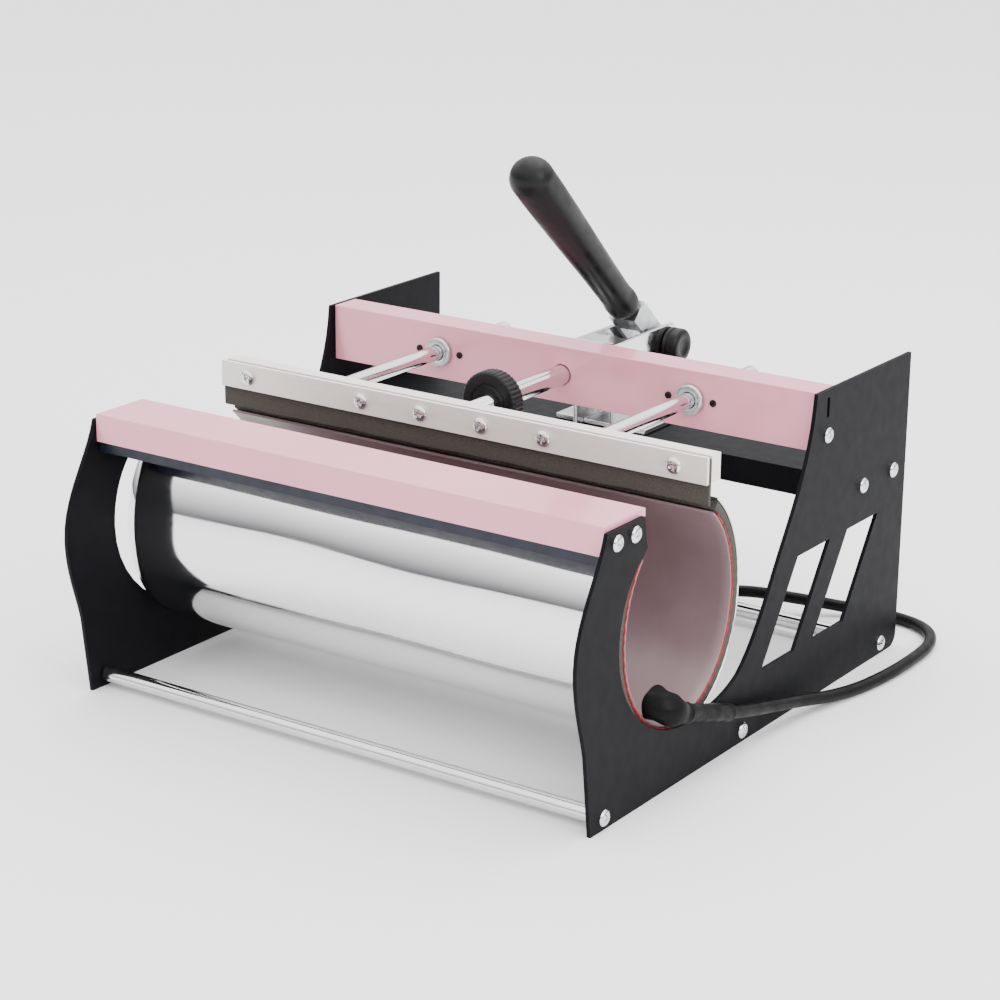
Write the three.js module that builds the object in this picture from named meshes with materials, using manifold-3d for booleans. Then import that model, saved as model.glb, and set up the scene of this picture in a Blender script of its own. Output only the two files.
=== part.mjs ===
// Mug and tumbler heat press: two bent-steel side plates carry a wrap-around heater, whose rear
// half is pulled closed round the mug by a bar on guide rods. An over-centre lever drives the bar.
// Millimetres, +X to the right, +Y to the rear, +Z up, standing on z = 0.
import * as THREE from 'three';
import { mergeVertices } from 'three/addons/utils/BufferGeometryUtils.js';
import Module from 'manifold-3d';

const wasm = await Module();
wasm.setup();

// ---- Driving dimensions -------------------------------------------------------------------
const GAP = 0.3;                 // between pieces that touch
const FRAME_WIDTH = 300;         // over the side plates
const FRAME_DEPTH = 298;         // side plates, bottom edge
const FRAME_HEIGHT = 160;        // side plates, rear section
const PLATE = 2;                 // side plate thickness
const NOSE_HEIGHT = FRAME_HEIGHT - 19.6;         // side plates, front horn
const NOSE_BULGE = 14;           // how far the horn stands in front of its foot
const FOOT_CORNER = 7;           // rounded lower rear corner
const WINDOW = { start: 151.5, pitch: 51.5, width: 33, lean: 33, low: 31.5, belowPlatform: 12.5 };
const PLATE_SLOT = { y: 209, width: 2.4, low: FRAME_HEIGHT - 14, high: FRAME_HEIGHT - 4 };

const ROD_R = 4;                 // tie rods and guide rods
const ROD_HEIGHT = 6.5;
const ROD_PLACES = { front: 10, middle: 134, rear: 279 };
const SCREW_R = 2;               // shanks
const SCREW_HEAD_R = 4;
const SCREW_HEAD = 2.4;
const SCREW_LENGTH = 8;

const CHANNEL_WALL = 1.5;
const FRONT_CHANNEL = { front: 9.4, rear: 43.4, depth: 14, over: 2.6 };   // over the horn's top
const FRONT_CHANNEL_SCREWS = { places: [16, 31], below: 8.5 };
const FRONT_CLAMP = { front: 11, height: 5.2 };
const REAR_CHANNEL = { front: 200, rear: 218, depth: 30, screwBelow: 23 };
const PLATFORM = { front: 235, rear: 296.5, top: FRAME_HEIGHT - 52.3, flange: 14.2, wall: 2 };
const PLATFORM_SCREWS = [250, 283];

const HEATER_CLEARANCE = 3;      // heater to side plate, each end
const LOOP_FOOT = 20;            // heater above the floor, and below the top of the plates
const LOOP = { y: 81, z: FRAME_HEIGHT / 2, a: 54.5, b: FRAME_HEIGHT / 2 - LOOP_FOOT };  // outer oval
const SHEET = 0.8;               // stainless cover
const MAT = 6.9;                 // foam, heating wire and liner
const LOOP_REAR_END = 55;        // degrees round the oval, from the rear
const LOOP_SPLIT = 1;            // gap at the bottom of the oval

const AXIS_HEIGHT = FRAME_HEIGHT - 15;           // spindle, guide rods and lever pivot
const BAR = { front: 101.5, low: AXIS_HEIGHT - 7.5, top: AXIS_HEIGHT + 6, depth: 12.5 };
const BAR_STRIP = 1.8;           // stainless clamp strip
const MAT_FLAP = { wall: 2, low: AXIS_HEIGHT - 18.4, top: AXIS_HEIGHT + 5 };
const BAR_SCREW_EDGE = 17.6;     // last screw to the bar's end
const BAR_SCREW_PLACES = [-3.5, -1.5, -0.5, 0.5, 1.5, 3.5];   // in pitches from the middle
const BAR_SCREW_SEAT = 4;        // metal left behind a screw's point
const GUIDE_SPACING = 77.4;      // each side of the middle
const GUIDE_REAR = 262;
const BUSHING = { radius: 8, flange: 3, sleeve: ROD_R + 1.6 };

const PIVOT_Y = 286;
const CRANK = 22;
const LINK = 35;
const LEVER_ANGLE = 137.2;       // handle above the +Y direction at rest, degrees
const LEVER_LENGTH = 169;
const GRIP = { start: 35, small: 8.7, large: 11.6 };
const LINK_HALF = 2.5;           // half thickness of the link
const LEVER_PLATE = 2.5;         // each side of the lever's steel
const WEB = { start: 22, end: 33 };              // joins the lever's two sides, from the pivot
const TANG = { start: 30, end: 95, half: 5, thick: 6 };       // inside the grip
const CHEEK = 2.5;               // bracket cheeks
const CHEEK_INSIDE = 10;
const BRACKET = { front: 231, top: AXIS_HEIGHT + 11, behind: 10.5, corner: 6, bridge: 16 };
const BRACKET_FOOT = { front: 238, half: 28, thick: 3 };
const PIN_R = 4;
const LINK_PIN_R = 2.5;
const EYE_WALL = 2.5;            // least metal round a link pin
const SPINDLE_R = 4;
const PLUNGER_R = SPINDLE_R + 1.2;
const SPINDLE_REAR = 170;
const PLUNGER_FRONT = 152;
const KNOB = { radius: 16, y: 133, depth: 10, boss: 7.5, bossDepth: 5 };
const HUB = { radius: 9.5, depth: 9, bore: 5 };
const PIN_OUT = { left: 3, right: 4 };           // pivot pins beyond the cheeks

// The cable's x is counted from the outside of the right side plate.
const CABLE_R = 3.2;
const SLEEVE_R = 4.6;
const BOOT_R = 7.2;
const BOOT_POINTS = [[-6.5, 57.5, 45.2], [-1, 58, 44.4], [3, 63, 41], [4.7, 70, 38]];
const SLEEVE_POINTS = [[5, 71.1, 37.6], [5.1, 92, 30.8], [5.1, 113, 24]];
const CABLE_POINTS = [
  [5.1, 113.5, 23.8], [5.3, 128, 19.8], [6.3, 152, 14.4], [8.6, 178, 9.2], [12.6, 201, 5],
  [17.4, 223, 3.4], [20.8, 247, 3.4], [21.6, 272, 3.4], [19.6, 297, 3.4], [12, 314, 3.4],
  [-2, 323.4, 3.4], [-22, 325, 3.8], [-44, 318.6, 5.6], [-64, 306, 9.4], [-83, 291.4, 13.4],
  [-100, 278, 14.2], [-113, 267.6, 13.2], [-127, 259.2, 11.6], [-142.8, 253.5, 10.6],
];
const COIL = { x: -170, y: 205, inner: 32.6, outer: 51.5, height: 13.4, lift: 0.2 };
const PLUG = { x: -204, y: 253, z: 9, tail: 5.5, body: 8, ring: 8.8 };
const PLUG_ENDS = { tail: 10, shoulder: 13, body: 24, ring: 34, lip: 38 };   // along the plug
const LIP = 0.8;                 // the plug's lip is this much smaller than its ring

// The inner edge of a side plate: down the rear column, under the mug and up inside the horn.
// Each line after the first is one bezier span, as [y, z]; z is tied to what the edge passes.
const PLATE_THROAT = [
  [197.5, FRAME_HEIGHT],
  [195, FRAME_HEIGHT - 30], [180, FRAME_HEIGHT - 52], [170.5, FRAME_HEIGHT - 67],
  [158, LOOP.z - 6], [147, LOOP.z - 30], [129, LOOP_FOOT + 16.7],
  [118, LOOP_FOOT + 10], [100, LOOP_FOOT + 7.5], [82, LOOP_FOOT + 7.5],
  [50, LOOP_FOOT + 7.5], [20.5, LOOP.z - 28], [20.5, LOOP.z + 2],
  [20.5, LOOP.z + 18], [27, NOSE_HEIGHT - 27.4], [39, NOSE_HEIGHT - 18.8],
];
const HORN_SHOULDER = [42.5, NOSE_HEIGHT - 15.4];
const HORN_REAR = 39.5;
// The front edge, from the top of the horn over the bulge to the foot.
const PLATE_NOSE = [
  [9, NOSE_HEIGHT],
  [4, NOSE_HEIGHT - 18.4], [-NOSE_BULGE, LOOP.z + 26], [-NOSE_BULGE, LOOP.z + 3],
  [-NOSE_BULGE, LOOP.z - 14], [-8, LOOP.z - 26], [-5, LOOP.z - 40],
];

// ---- Derived places -----------------------------------------------------------------------
const plateInside = FRAME_WIDTH / 2 - PLATE;
const halfHeater = plateInside - HEATER_CLEARANCE;
const frontTop = NOSE_HEIGHT + FRONT_CHANNEL.over;
const frontLow = frontTop - FRONT_CHANNEL.depth;
const rearLow = FRAME_HEIGHT - REAR_CHANNEL.depth;
const barScrewPitch = (halfHeater - BAR_SCREW_EDGE) / Math.max(...BAR_SCREW_PLACES);
const leverTurn = THREE.MathUtils.degToRad(LEVER_ANGLE);
const leverDir = [Math.cos(leverTurn), Math.sin(leverTurn)];
const crankPin = [PIVOT_Y - CRANK * leverDir[0], AXIS_HEIGHT - CRANK * leverDir[1]];
const plungerPin = crankPin[0] - Math.sqrt(LINK ** 2 - (AXIS_HEIGHT - crankPin[1]) ** 2);
const barRear = BAR.front + BAR.depth;
const flapFront = BAR.front + BAR_STRIP + GAP;
const tineInside = LINK_HALF + GAP;
const leverInside = PLUNGER_R + 2 * GAP;
const matInside = SHEET + GAP + MAT;
const clampLow = frontLow - GAP - FRONT_CLAMP.height;
const frontEnd = 180 - THREE.MathUtils.radToDeg(Math.asin((clampLow - GAP - LOOP.z) / LOOP.b));

// ---- Finishes -----------------------------------------------------------------------------
const finish = (color, roughness, metalness) =>
  new THREE.MeshStandardMaterial({ color, roughness, metalness });
const FINISH = {
  plate: () => finish(0x2a2a2e, 0.55, 0.2),
  pink: () => finish(0xd8b0bc, 0.35, 0.1),
  chrome: () => finish(0xd4d6d8, 0.15, 1),
  steel: () => finish(0xc6c3bd, 0.35, 1),
  sheet: () => finish(0xdcdcdc, 0.12, 1),
  mat: () => finish(0x6a5457, 0.8, 0),
  flap: () => finish(0x33312f, 0.8, 0),
  black: () => finish(0x141416, 0.4, 0),
  cable: () => finish(0x101012, 0.6, 0),
};

const press = new THREE.Group();
const cord = new THREE.Group();
press.add(cord);

function add(name, geometry, material, group = press) {
  const mesh = new THREE.Mesh(geometry, material());
  mesh.name = name;
  group.add(mesh);
  return mesh;
}

// ---- Shape helpers ------------------------------------------------------------------------
function toSolid(geometry) {
  const bare = geometry.clone();
  bare.deleteAttribute('normal');
  bare.deleteAttribute('uv');
  const merged = mergeVertices(bare, 1e-4);
  const vertProperties = new Float32Array(merged.attributes.position.array);
  const triVerts = new Uint32Array(merged.index.array);
  return new wasm.Manifold(new wasm.Mesh({ numProp: 3, vertProperties, triVerts }));
}

function toGeometry(solid) {
  const mesh = solid.getMesh();
  const geometry = new THREE.BufferGeometry();
  geometry.setAttribute('position', new THREE.BufferAttribute(mesh.vertProperties.slice(), 3));
  geometry.setIndex(new THREE.BufferAttribute(mesh.triVerts.slice(), 1));
  geometry.computeVertexNormals();
  return geometry;
}

const join = (...parts) => toGeometry(parts.map(toSolid).reduce((all, one) => all.add(one)));
const cut = (base, ...tools) =>
  toGeometry(tools.map(toSolid).reduce((left, tool) => left.subtract(tool), toSolid(base)));

// A block between two corners.
function block(x0, x1, y0, y1, z0, z1) {
  return new THREE.BoxGeometry(x1 - x0, y1 - y0, z1 - z0)
    .translate((x0 + x1) / 2, (y0 + y1) / 2, (z0 + z1) / 2);
}

// A round bar along X or Y.
function barAlongX(x0, x1, y, z, radius, sides = 20) {
  return new THREE.CylinderGeometry(radius, radius, x1 - x0, sides)
    .rotateZ(Math.PI / 2).translate((x0 + x1) / 2, y, z);
}
function barAlongY(y0, y1, x, z, radius, sides = 20) {
  return new THREE.CylinderGeometry(radius, radius, y1 - y0, sides)
    .translate(x, (y0 + y1) / 2, z);
}

// A flat outline in the YZ plane, given thickness from x0 to x1.
function slab(shape, x0, x1, curveSegments = 10) {
  const geometry = new THREE.ExtrudeGeometry(shape, { depth: x1 - x0, bevelEnabled: false, curveSegments });
  return geometry.applyMatrix4(new THREE.Matrix4().set(0, 0, 1, x0, 1, 0, 0, 0, 0, 1, 0, 0, 0, 0, 0, 1));
}

// A solid of revolution about +Y from [radius, y] pairs that start and end on the axis.
function turned(profile, sides = 24) {
  return new THREE.LatheGeometry(profile.map(([r, y]) => new THREE.Vector2(r, y)), sides);
}

function tube(points, radius, sides, steps) {
  const curve = new THREE.CatmullRomCurve3(points.map((p) => new THREE.Vector3(...p)), false, 'centripetal');
  const round = new THREE.Shape(Array.from({ length: sides }, (_, i) => {
    const turn = (2 * Math.PI * i) / sides;
    return new THREE.Vector2(radius * Math.cos(turn), radius * Math.sin(turn));
  }));
  return new THREE.ExtrudeGeometry(round, { extrudePath: curve, steps, bevelEnabled: false });
}

// ---- Side plates --------------------------------------------------------------------------
function plateShape() {
  const s = new THREE.Shape();
  const follow = ([first, ...rest]) => {
    s.lineTo(...first);
    for (let i = 0; i < rest.length; i += 3) s.bezierCurveTo(...rest.slice(i, i + 3).flat());
  };
  s.moveTo(0, 0);
  s.lineTo(FRAME_DEPTH - FOOT_CORNER, 0);
  s.absarc(FRAME_DEPTH - FOOT_CORNER, FOOT_CORNER, FOOT_CORNER, -Math.PI / 2, 0);
  s.lineTo(FRAME_DEPTH, FRAME_HEIGHT);
  follow(PLATE_THROAT);
  s.lineTo(...HORN_SHOULDER);
  s.lineTo(HORN_REAR, NOSE_HEIGHT);
  follow(PLATE_NOSE);
  s.lineTo(0, 0);
  return s;
}

// The slanted windows behind the mug space.
function plateWindows(x0, x1) {
  const { start, pitch, width, lean, low, belowPlatform } = WINDOW;
  const high = PLATFORM.top - PLATFORM.flange - belowPlatform;
  return [0, 1].map((i) => {
    const y = start + i * pitch;
    const corners = [[y, low], [y + width, low], [y + lean + width, high], [y + lean, high]];
    return slab(new THREE.Shape(corners.map(([a, b]) => new THREE.Vector2(a, b))), x0, x1);
  });
}

// Where screws pass through the plates, as [y, z], by what they hold.
const screwPlaces = {
  rods: Object.values(ROD_PLACES).map((y) => [y, ROD_HEIGHT]),
  frontChannel: FRONT_CHANNEL_SCREWS.places.map((y) => [y, frontTop - FRONT_CHANNEL_SCREWS.below]),
  rearChannel: [[(REAR_CHANNEL.front + REAR_CHANNEL.rear) / 2, FRAME_HEIGHT - REAR_CHANNEL.screwBelow]],
  platform: PLATFORM_SCREWS.map((y) => [y, PLATFORM.top - PLATFORM.flange / 2]),
};
const allScrews = Object.values(screwPlaces).flat();

function sidePlates() {
  const outside = FRAME_WIDTH / 2;
  for (const [side, x0, x1] of [['left', -outside, -plateInside], ['right', plateInside, outside]]) {
    const { y: middle, width, low, high } = PLATE_SLOT;
    const openings = allScrews.map(([y, z]) => barAlongX(x0 - 1, x1 + 1, y, z, SCREW_R + GAP, 12));
    openings.push(block(x0 - 1, x1 + 1, middle - width / 2, middle + width / 2, low, high));
    const plate = cut(slab(plateShape(), x0, x1), ...plateWindows(x0 - 1, x1 + 1), ...openings);
    add(`side_plate_${side}`, plate, FINISH.plate);
  }
}

// A pan-head screw whose head sits against a face at x = 0 and whose shank runs along -X.
function screw(length) {
  const r = SCREW_HEAD_R;
  const profile = [[0, -length], [SCREW_R, -length], [SCREW_R, 0.1], [r, 0.1], [r, SCREW_HEAD * 0.45],
    [r * 0.75, SCREW_HEAD * 0.85], [r * 0.35, SCREW_HEAD], [0, SCREW_HEAD]];
  return turned(profile, 12).rotateZ(-Math.PI / 2);
}

function plateScrews() {
  allScrews.forEach(([y, z], i) => {
    const right = add(`plate_screw_right_${i + 1}`, screw(SCREW_LENGTH), FINISH.chrome);
    right.position.set(FRAME_WIDTH / 2, y, z);
    const left = add(`plate_screw_left_${i + 1}`, screw(SCREW_LENGTH), FINISH.chrome);
    left.position.set(-FRAME_WIDTH / 2, y, z);
    left.rotation.z = Math.PI;
  });
}

// Tie rods are tapped at both ends for the plate screws.
function tieRods() {
  const end = plateInside - GAP;
  const bore = SCREW_R + GAP;
  const depth = end - SCREW_LENGTH;
  const profile = [[0, -depth], [bore, -depth], [bore, -end], [ROD_R, -end], [ROD_R, end], [bore, end],
    [bore, depth], [0, depth]];
  for (const [name, y] of Object.entries(ROD_PLACES)) {
    const rod = add(`tie_rod_${name}`, turned(profile, 16).rotateZ(-Math.PI / 2), FINISH.chrome);
    rod.position.set(0, y, ROD_HEIGHT);
  }
}

// ---- Cross members ------------------------------------------------------------------------
// A sheet tray open below: top, four walls and screw holes through its ends.
function tray(front, rear, low, top, wall, holes) {
  const end = plateInside - GAP;
  const outside = block(-end, end, front, rear, low, top);
  const inside = block(-end + wall, end - wall, front + wall, rear - wall, low - 1, top - wall);
  const drilled = holes.map(([y, z]) => barAlongX(-end - 1, end + 1, y, z, SCREW_R + GAP, 12));
  return [outside, inside, ...drilled];
}

function frontChannel() {
  const { front, rear } = FRONT_CHANNEL;
  const parts = tray(front, rear, frontLow, frontTop, CHANNEL_WALL, screwPlaces.frontChannel);
  add('front_channel', cut(...parts), FINISH.pink);
  const end = plateInside - GAP;
  const clampRear = LOOP.y + LOOP.a * Math.cos(THREE.MathUtils.degToRad(frontEnd)) + GAP;
  const strip = block(-end, end, FRONT_CLAMP.front, clampRear, clampLow, frontLow - GAP);
  add('front_clamp_strip', strip, FINISH.black);
}

function rearChannel() {
  const { front, rear } = REAR_CHANNEL;
  const parts = tray(front, rear, rearLow, FRAME_HEIGHT, CHANNEL_WALL, screwPlaces.rearChannel);
  for (const x of [-GUIDE_SPACING, GUIDE_SPACING]) {
    parts.push(barAlongY(front - 1, rear + 1, x, AXIS_HEIGHT, BUSHING.sleeve + GAP, 20));
  }
  parts.push(barAlongY(front - 1, rear + 1, 0, AXIS_HEIGHT, PLUNGER_R + GAP, 20));
  add('rear_channel', cut(...parts), FINISH.pink);
}

function platform() {
  const { front, rear, top, flange, wall } = PLATFORM;
  const parts = tray(front, rear, top - flange, top, wall, screwPlaces.platform);
  add('toggle_platform', cut(...parts), FINISH.plate);
}

// Flanged sleeves in the rear channel that the guide rods run in.
function guideBushings() {
  const { radius, flange, sleeve } = BUSHING;
  const bore = ROD_R + GAP;
  const back = REAR_CHANNEL.rear - REAR_CHANNEL.front + 1;
  const profile = [[bore, -flange], [radius - 1, -flange], [radius, 1 - flange], [radius, -GAP],
    [sleeve, -GAP], [sleeve, back], [bore, back], [bore, -flange]];
  for (const [side, x] of [['left', -GUIDE_SPACING], ['right', GUIDE_SPACING]]) {
    const bushing = add(`guide_bushing_${side}`, turned(profile), FINISH.steel);
    bushing.position.set(x, REAR_CHANNEL.front, AXIS_HEIGHT);
  }
}

// ---- Heater -------------------------------------------------------------------------------
// A band that follows the oval between two angles, from depth d0 to depth d1 inside its outside.
function ovalBand(from, to, d0, d1) {
  const rad = THREE.MathUtils.degToRad;
  const { y, z, a, b } = LOOP;
  const steps = Math.round(Math.abs(to - from) / 7);
  const arc = (d) => new THREE.EllipseCurve(y, z, a - d, b - d, rad(from), rad(to)).getPoints(steps);
  return new THREE.Shape([...arc(d0), ...arc(d1).reverse()]);
}

function heater() {
  const halves = { front: [frontEnd, 270 - splitAngle()], rear: [-90 + splitAngle(), LOOP_REAR_END] };
  for (const [name, [from, to]] of Object.entries(halves)) {
    add(`heater_sheet_${name}`, slab(ovalBand(from, to, 0, SHEET), -halfHeater, halfHeater), FINISH.sheet);
    const mat = ovalBand(from, to, SHEET + GAP, matInside);
    add(`heater_mat_${name}`, slab(mat, -halfHeater, halfHeater), FINISH.mat);
  }
}

function splitAngle() {
  return THREE.MathUtils.radToDeg(LOOP_SPLIT / 2 / (LOOP.a - matInside));
}

// ---- Moving bar ---------------------------------------------------------------------------
function movingBar() {
  const { front, low, top } = BAR;
  const holes = (y0, y1) => BAR_SCREW_PLACES
    .map((n) => barAlongY(y0, y1, n * barScrewPitch, (low + top) / 2, SCREW_R + GAP, 12));
  const flapRear = flapFront + MAT_FLAP.wall;
  const bar = block(-halfHeater, halfHeater, flapRear + GAP, barRear, low, top);
  add('moving_bar', cut(bar, ...holes(front, barRear - 2)), FINISH.steel);
  const strip = block(-halfHeater, halfHeater, front, front + BAR_STRIP, low, top);
  add('bar_clamp_strip', cut(strip, ...holes(front - 1, flapRear)), FINISH.steel);
  const flap = block(-halfHeater, halfHeater, flapFront, flapRear, MAT_FLAP.low, MAT_FLAP.top);
  add('mat_end_flap', cut(flap, ...holes(front, flapRear + 1)), FINISH.flap);
  BAR_SCREW_PLACES.forEach((n, i) => {
    const shape = screw(BAR.depth - BAR_SCREW_SEAT).rotateZ(-Math.PI / 2);
    const one = add(`bar_screw_${i + 1}`, shape, FINISH.chrome);
    one.position.set(n * barScrewPitch, front, (low + top) / 2);
  });
}

function guideRods() {
  for (const [side, x] of [['left', -GUIDE_SPACING], ['right', GUIDE_SPACING]]) {
    add(`guide_rod_${side}`, barAlongY(barRear + GAP, GUIDE_REAR, x, AXIS_HEIGHT, ROD_R, 20), FINISH.chrome);
  }
}

function spindleAndKnob() {
  add('spindle', barAlongY(barRear + GAP, SPINDLE_REAR, 0, AXIS_HEIGHT, SPINDLE_R), FINISH.chrome);
  const bore = SPINDLE_R + GAP;
  const { radius, depth, boss, bossDepth } = KNOB;
  const profile = [[bore, 0], [radius - 1, 0], [radius, 1], [radius, depth - 1], [radius - 1, depth],
    [boss, depth], [boss, depth + bossDepth], [bore, depth + bossDepth], [bore, 0]];
  add('pressure_knob', turned(profile, 28), FINISH.black).position.set(0, KNOB.y, AXIS_HEIGHT);
}

// Round plunger, bored for the spindle in front and forked for the link behind.
function plunger() {
  const rear = plungerPin + PLUNGER_R;
  const body = barAlongY(PLUNGER_FRONT, rear, 0, AXIS_HEIGHT, PLUNGER_R);
  const bore = barAlongY(PLUNGER_FRONT - 1, SPINDLE_REAR + 2, 0, AXIS_HEIGHT, SPINDLE_R + GAP);
  const slot = block(-tineInside, tineInside, plungerPin - 9, rear + 1,
    AXIS_HEIGHT - 2 * PLUNGER_R, AXIS_HEIGHT + 2 * PLUNGER_R);
  const hole = barAlongX(-PLUNGER_R, PLUNGER_R, plungerPin, AXIS_HEIGHT, LINK_PIN_R + GAP, 16);
  add('plunger', cut(body, bore, slot, hole), FINISH.chrome);
}

// ---- Lever and toggle ---------------------------------------------------------------------
// A flat bar with round ends in the YZ plane, from one eye to another.
function eyeBar(from, to, r0, r1) {
  const turn = Math.atan2(to[1] - from[1], to[0] - from[0]);
  const lean = Math.asin((r0 - r1) / Math.hypot(to[0] - from[0], to[1] - from[1]));
  const side = Math.PI / 2 - lean;
  const s = new THREE.Shape();
  s.absarc(to[0], to[1], r1, turn - side, turn + side);
  s.absarc(from[0], from[1], r0, turn + side, turn - side + 2 * Math.PI);
  return s;
}

function link() {
  const eyes = [[plungerPin, AXIS_HEIGHT], crankPin];
  const holes = eyes.map(([y, z]) => barAlongX(-LINK_HALF - 1, LINK_HALF + 1, y, z, LINK_PIN_R + GAP, 16));
  const eye = LINK_PIN_R + EYE_WALL;
  add('toggle_link', cut(slab(eyeBar(...eyes, eye, eye + 1), -LINK_HALF, LINK_HALF), ...holes),
    FINISH.chrome);
  const half = PLUNGER_R - GAP;
  add('link_pin', barAlongX(-half, half, plungerPin, AXIS_HEIGHT, LINK_PIN_R, 16), FINISH.chrome);
}

// Two side plates with the crank at one end and a cross web where the grip starts.
function lever() {
  const along = (r) => [PIVOT_Y + r * leverDir[0], AXIS_HEIGHT + r * leverDir[1]];
  const radius = PIN_R + EYE_WALL;
  const shape = eyeBar(crankPin, along((WEB.start + WEB.end) / 2 - 0.5), radius, radius);
  const outer = leverInside + LEVER_PLATE;
  const holes = [barAlongX(-outer - 1, outer + 1, PIVOT_Y, AXIS_HEIGHT, PIN_R + GAP, 16)];
  holes.push(barAlongX(-outer - 1, outer + 1, ...crankPin, LINK_PIN_R + GAP, 16));
  const sides = [slab(shape, -outer, -leverInside), slab(shape, leverInside, outer)];
  const turnUp = new THREE.Matrix4().makeRotationX(leverTurn).setPosition(0, PIVOT_Y, AXIS_HEIGHT);
  const inset = 0.1;
  const deep = radius - inset;
  const web = block(inset - outer, outer - inset, WEB.start, WEB.end, -deep, deep).applyMatrix4(turnUp);
  const { start, end, half, thick } = TANG;
  const tang = block(-half, half, start, end, -thick / 2, thick / 2).applyMatrix4(turnUp);
  add('lever_arm', cut(join(...sides, web, tang), ...holes), FINISH.steel);
  leverGrip(turnUp);
}

function leverGrip(turnUp) {
  const { start, small, large } = GRIP;
  const end = LEVER_LENGTH;
  const bore = Math.hypot(TANG.half, TANG.thick / 2) + GAP;
  const deep = TANG.end + 2;
  const dome = large - 0.6;
  const profile = [[0, deep], [bore, deep], [bore, start], [small - 1.5, start], [small, start + 2.5],
    [small + 0.6, start + 20], [large, end - 30], [large, end - dome]];
  for (const turn of [0.25, 0.5, 0.75].map((t) => (t * Math.PI) / 2)) {
    profile.push([large * Math.cos(turn), end - dome + dome * Math.sin(turn)]);
  }
  profile.push([0, end]);
  add('lever_grip', turned(profile).applyMatrix4(turnUp), FINISH.black);
}

function bracket() {
  const base = PLATFORM.top + GAP;
  const { front, top, behind, corner, bridge } = BRACKET;
  const rear = PIVOT_Y + behind;
  const cheek = new THREE.Shape();
  cheek.moveTo(front, base);
  cheek.lineTo(rear, base);
  cheek.lineTo(rear, top - corner);
  cheek.lineTo(rear - corner, top);
  cheek.lineTo(front, top);
  const outside = CHEEK_INSIDE + CHEEK;
  const hole = barAlongX(-outside - 1, outside + 1, PIVOT_Y, AXIS_HEIGHT, PIN_R + GAP, 16);
  const parts = [slab(cheek, -outside, -CHEEK_INSIDE), slab(cheek, CHEEK_INSIDE, outside)];
  const foot = BRACKET_FOOT;
  parts.push(block(-foot.half, foot.half, foot.front, rear, base, base + foot.thick));
  parts.push(block(-outside, outside, front, front + bridge, top - CHEEK, top));
  add('toggle_bracket', cut(join(...parts), hole), FINISH.chrome);
}

// Stub pins that hold the lever between the bracket cheeks, and the cap on the right one.
function pivotPins() {
  const inner = leverInside + GAP;
  const outside = CHEEK_INSIDE + CHEEK;
  const left = barAlongX(-outside - PIN_OUT.left, -inner, PIVOT_Y, AXIS_HEIGHT, PIN_R);
  const right = barAlongX(inner, outside + PIN_OUT.right, PIVOT_Y, AXIS_HEIGHT, PIN_R);
  add('pivot_pin_left', left, FINISH.chrome);
  add('pivot_pin_right', right, FINISH.chrome);
  const { radius, depth, bore: deep } = HUB;
  const bore = PIN_R + GAP;
  const profile = [[0, deep], [bore, deep], [bore, 0], [radius - 1, 0], [radius, 1], [radius, depth - 2],
    [radius - 2, depth], [0, depth]];
  add('pivot_hub', turned(profile).rotateZ(-Math.PI / 2), FINISH.black)
    .position.set(outside + GAP, PIVOT_Y, AXIS_HEIGHT);
}

// ---- Cable --------------------------------------------------------------------------------
// The boot leaves the end of the heater through the right side plate's opening. A sleeve stiffens the
// cable's first stretch, and the cable runs back along the plate's foot, crosses the rear tie rod and
// is put away as a coil between the tie rods.
function cable() {
  add('cable_boot', tube(BOOT_POINTS, BOOT_R, 12, 10), FINISH.cable, cord);
  add('cable_sleeve', tube(SLEEVE_POINTS, SLEEVE_R, 12, 5), FINISH.cable, cord);
  add('cable_run', tube(CABLE_POINTS, CABLE_R, 8, 44), FINISH.cable, cord);
  const { inner, outer, height, lift } = COIL;
  const ring = [[inner, lift], [outer, lift], [outer, height], [inner, height], [inner, lift]];
  add('cable_coil', turned(ring, 32).rotateX(Math.PI / 2), FINISH.cable, cord)
    .position.set(COIL.x, COIL.y, 0);
  cord.position.x = FRAME_WIDTH / 2;
}

function plug() {
  const { tail, body, ring, x, y, z } = PLUG;
  const ends = PLUG_ENDS;
  const back = [[0, 0], [tail, 0], [tail, ends.tail], [body, ends.shoulder], [body, ends.body],
    [0, ends.body]];
  const lip = ring - LIP;
  const front = [[0, ends.body + GAP], [ring, ends.body + GAP], [ring, ends.ring], [lip, ends.ring + LIP],
    [lip, ends.lip], [0, ends.lip]];
  for (const [name, profile] of [['plug_body', back], ['plug_ring', front]]) {
    add(name, turned(profile, 20).rotateZ(Math.PI / 2), FINISH.chrome, cord).position.set(x, y, z);
  }
}

sidePlates();
plateScrews();
tieRods();
frontChannel();
rearChannel();
platform();
guideBushings();
heater();
movingBar();
guideRods();
spindleAndKnob();
plunger();
link();
lever();
bracket();
pivotPins();

// The origin is under the middle of the press, so the cable is added once that is known.
const box = new THREE.Box3().setFromObject(press);
cable();
plug();
press.position.set(-(box.min.x + box.max.x) / 2, -(box.min.y + box.max.y) / 2, -box.min.z);

export default press;
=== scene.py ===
import math

import bmesh
import bpy
import numpy as np
from mathutils import Matrix, Vector


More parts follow.
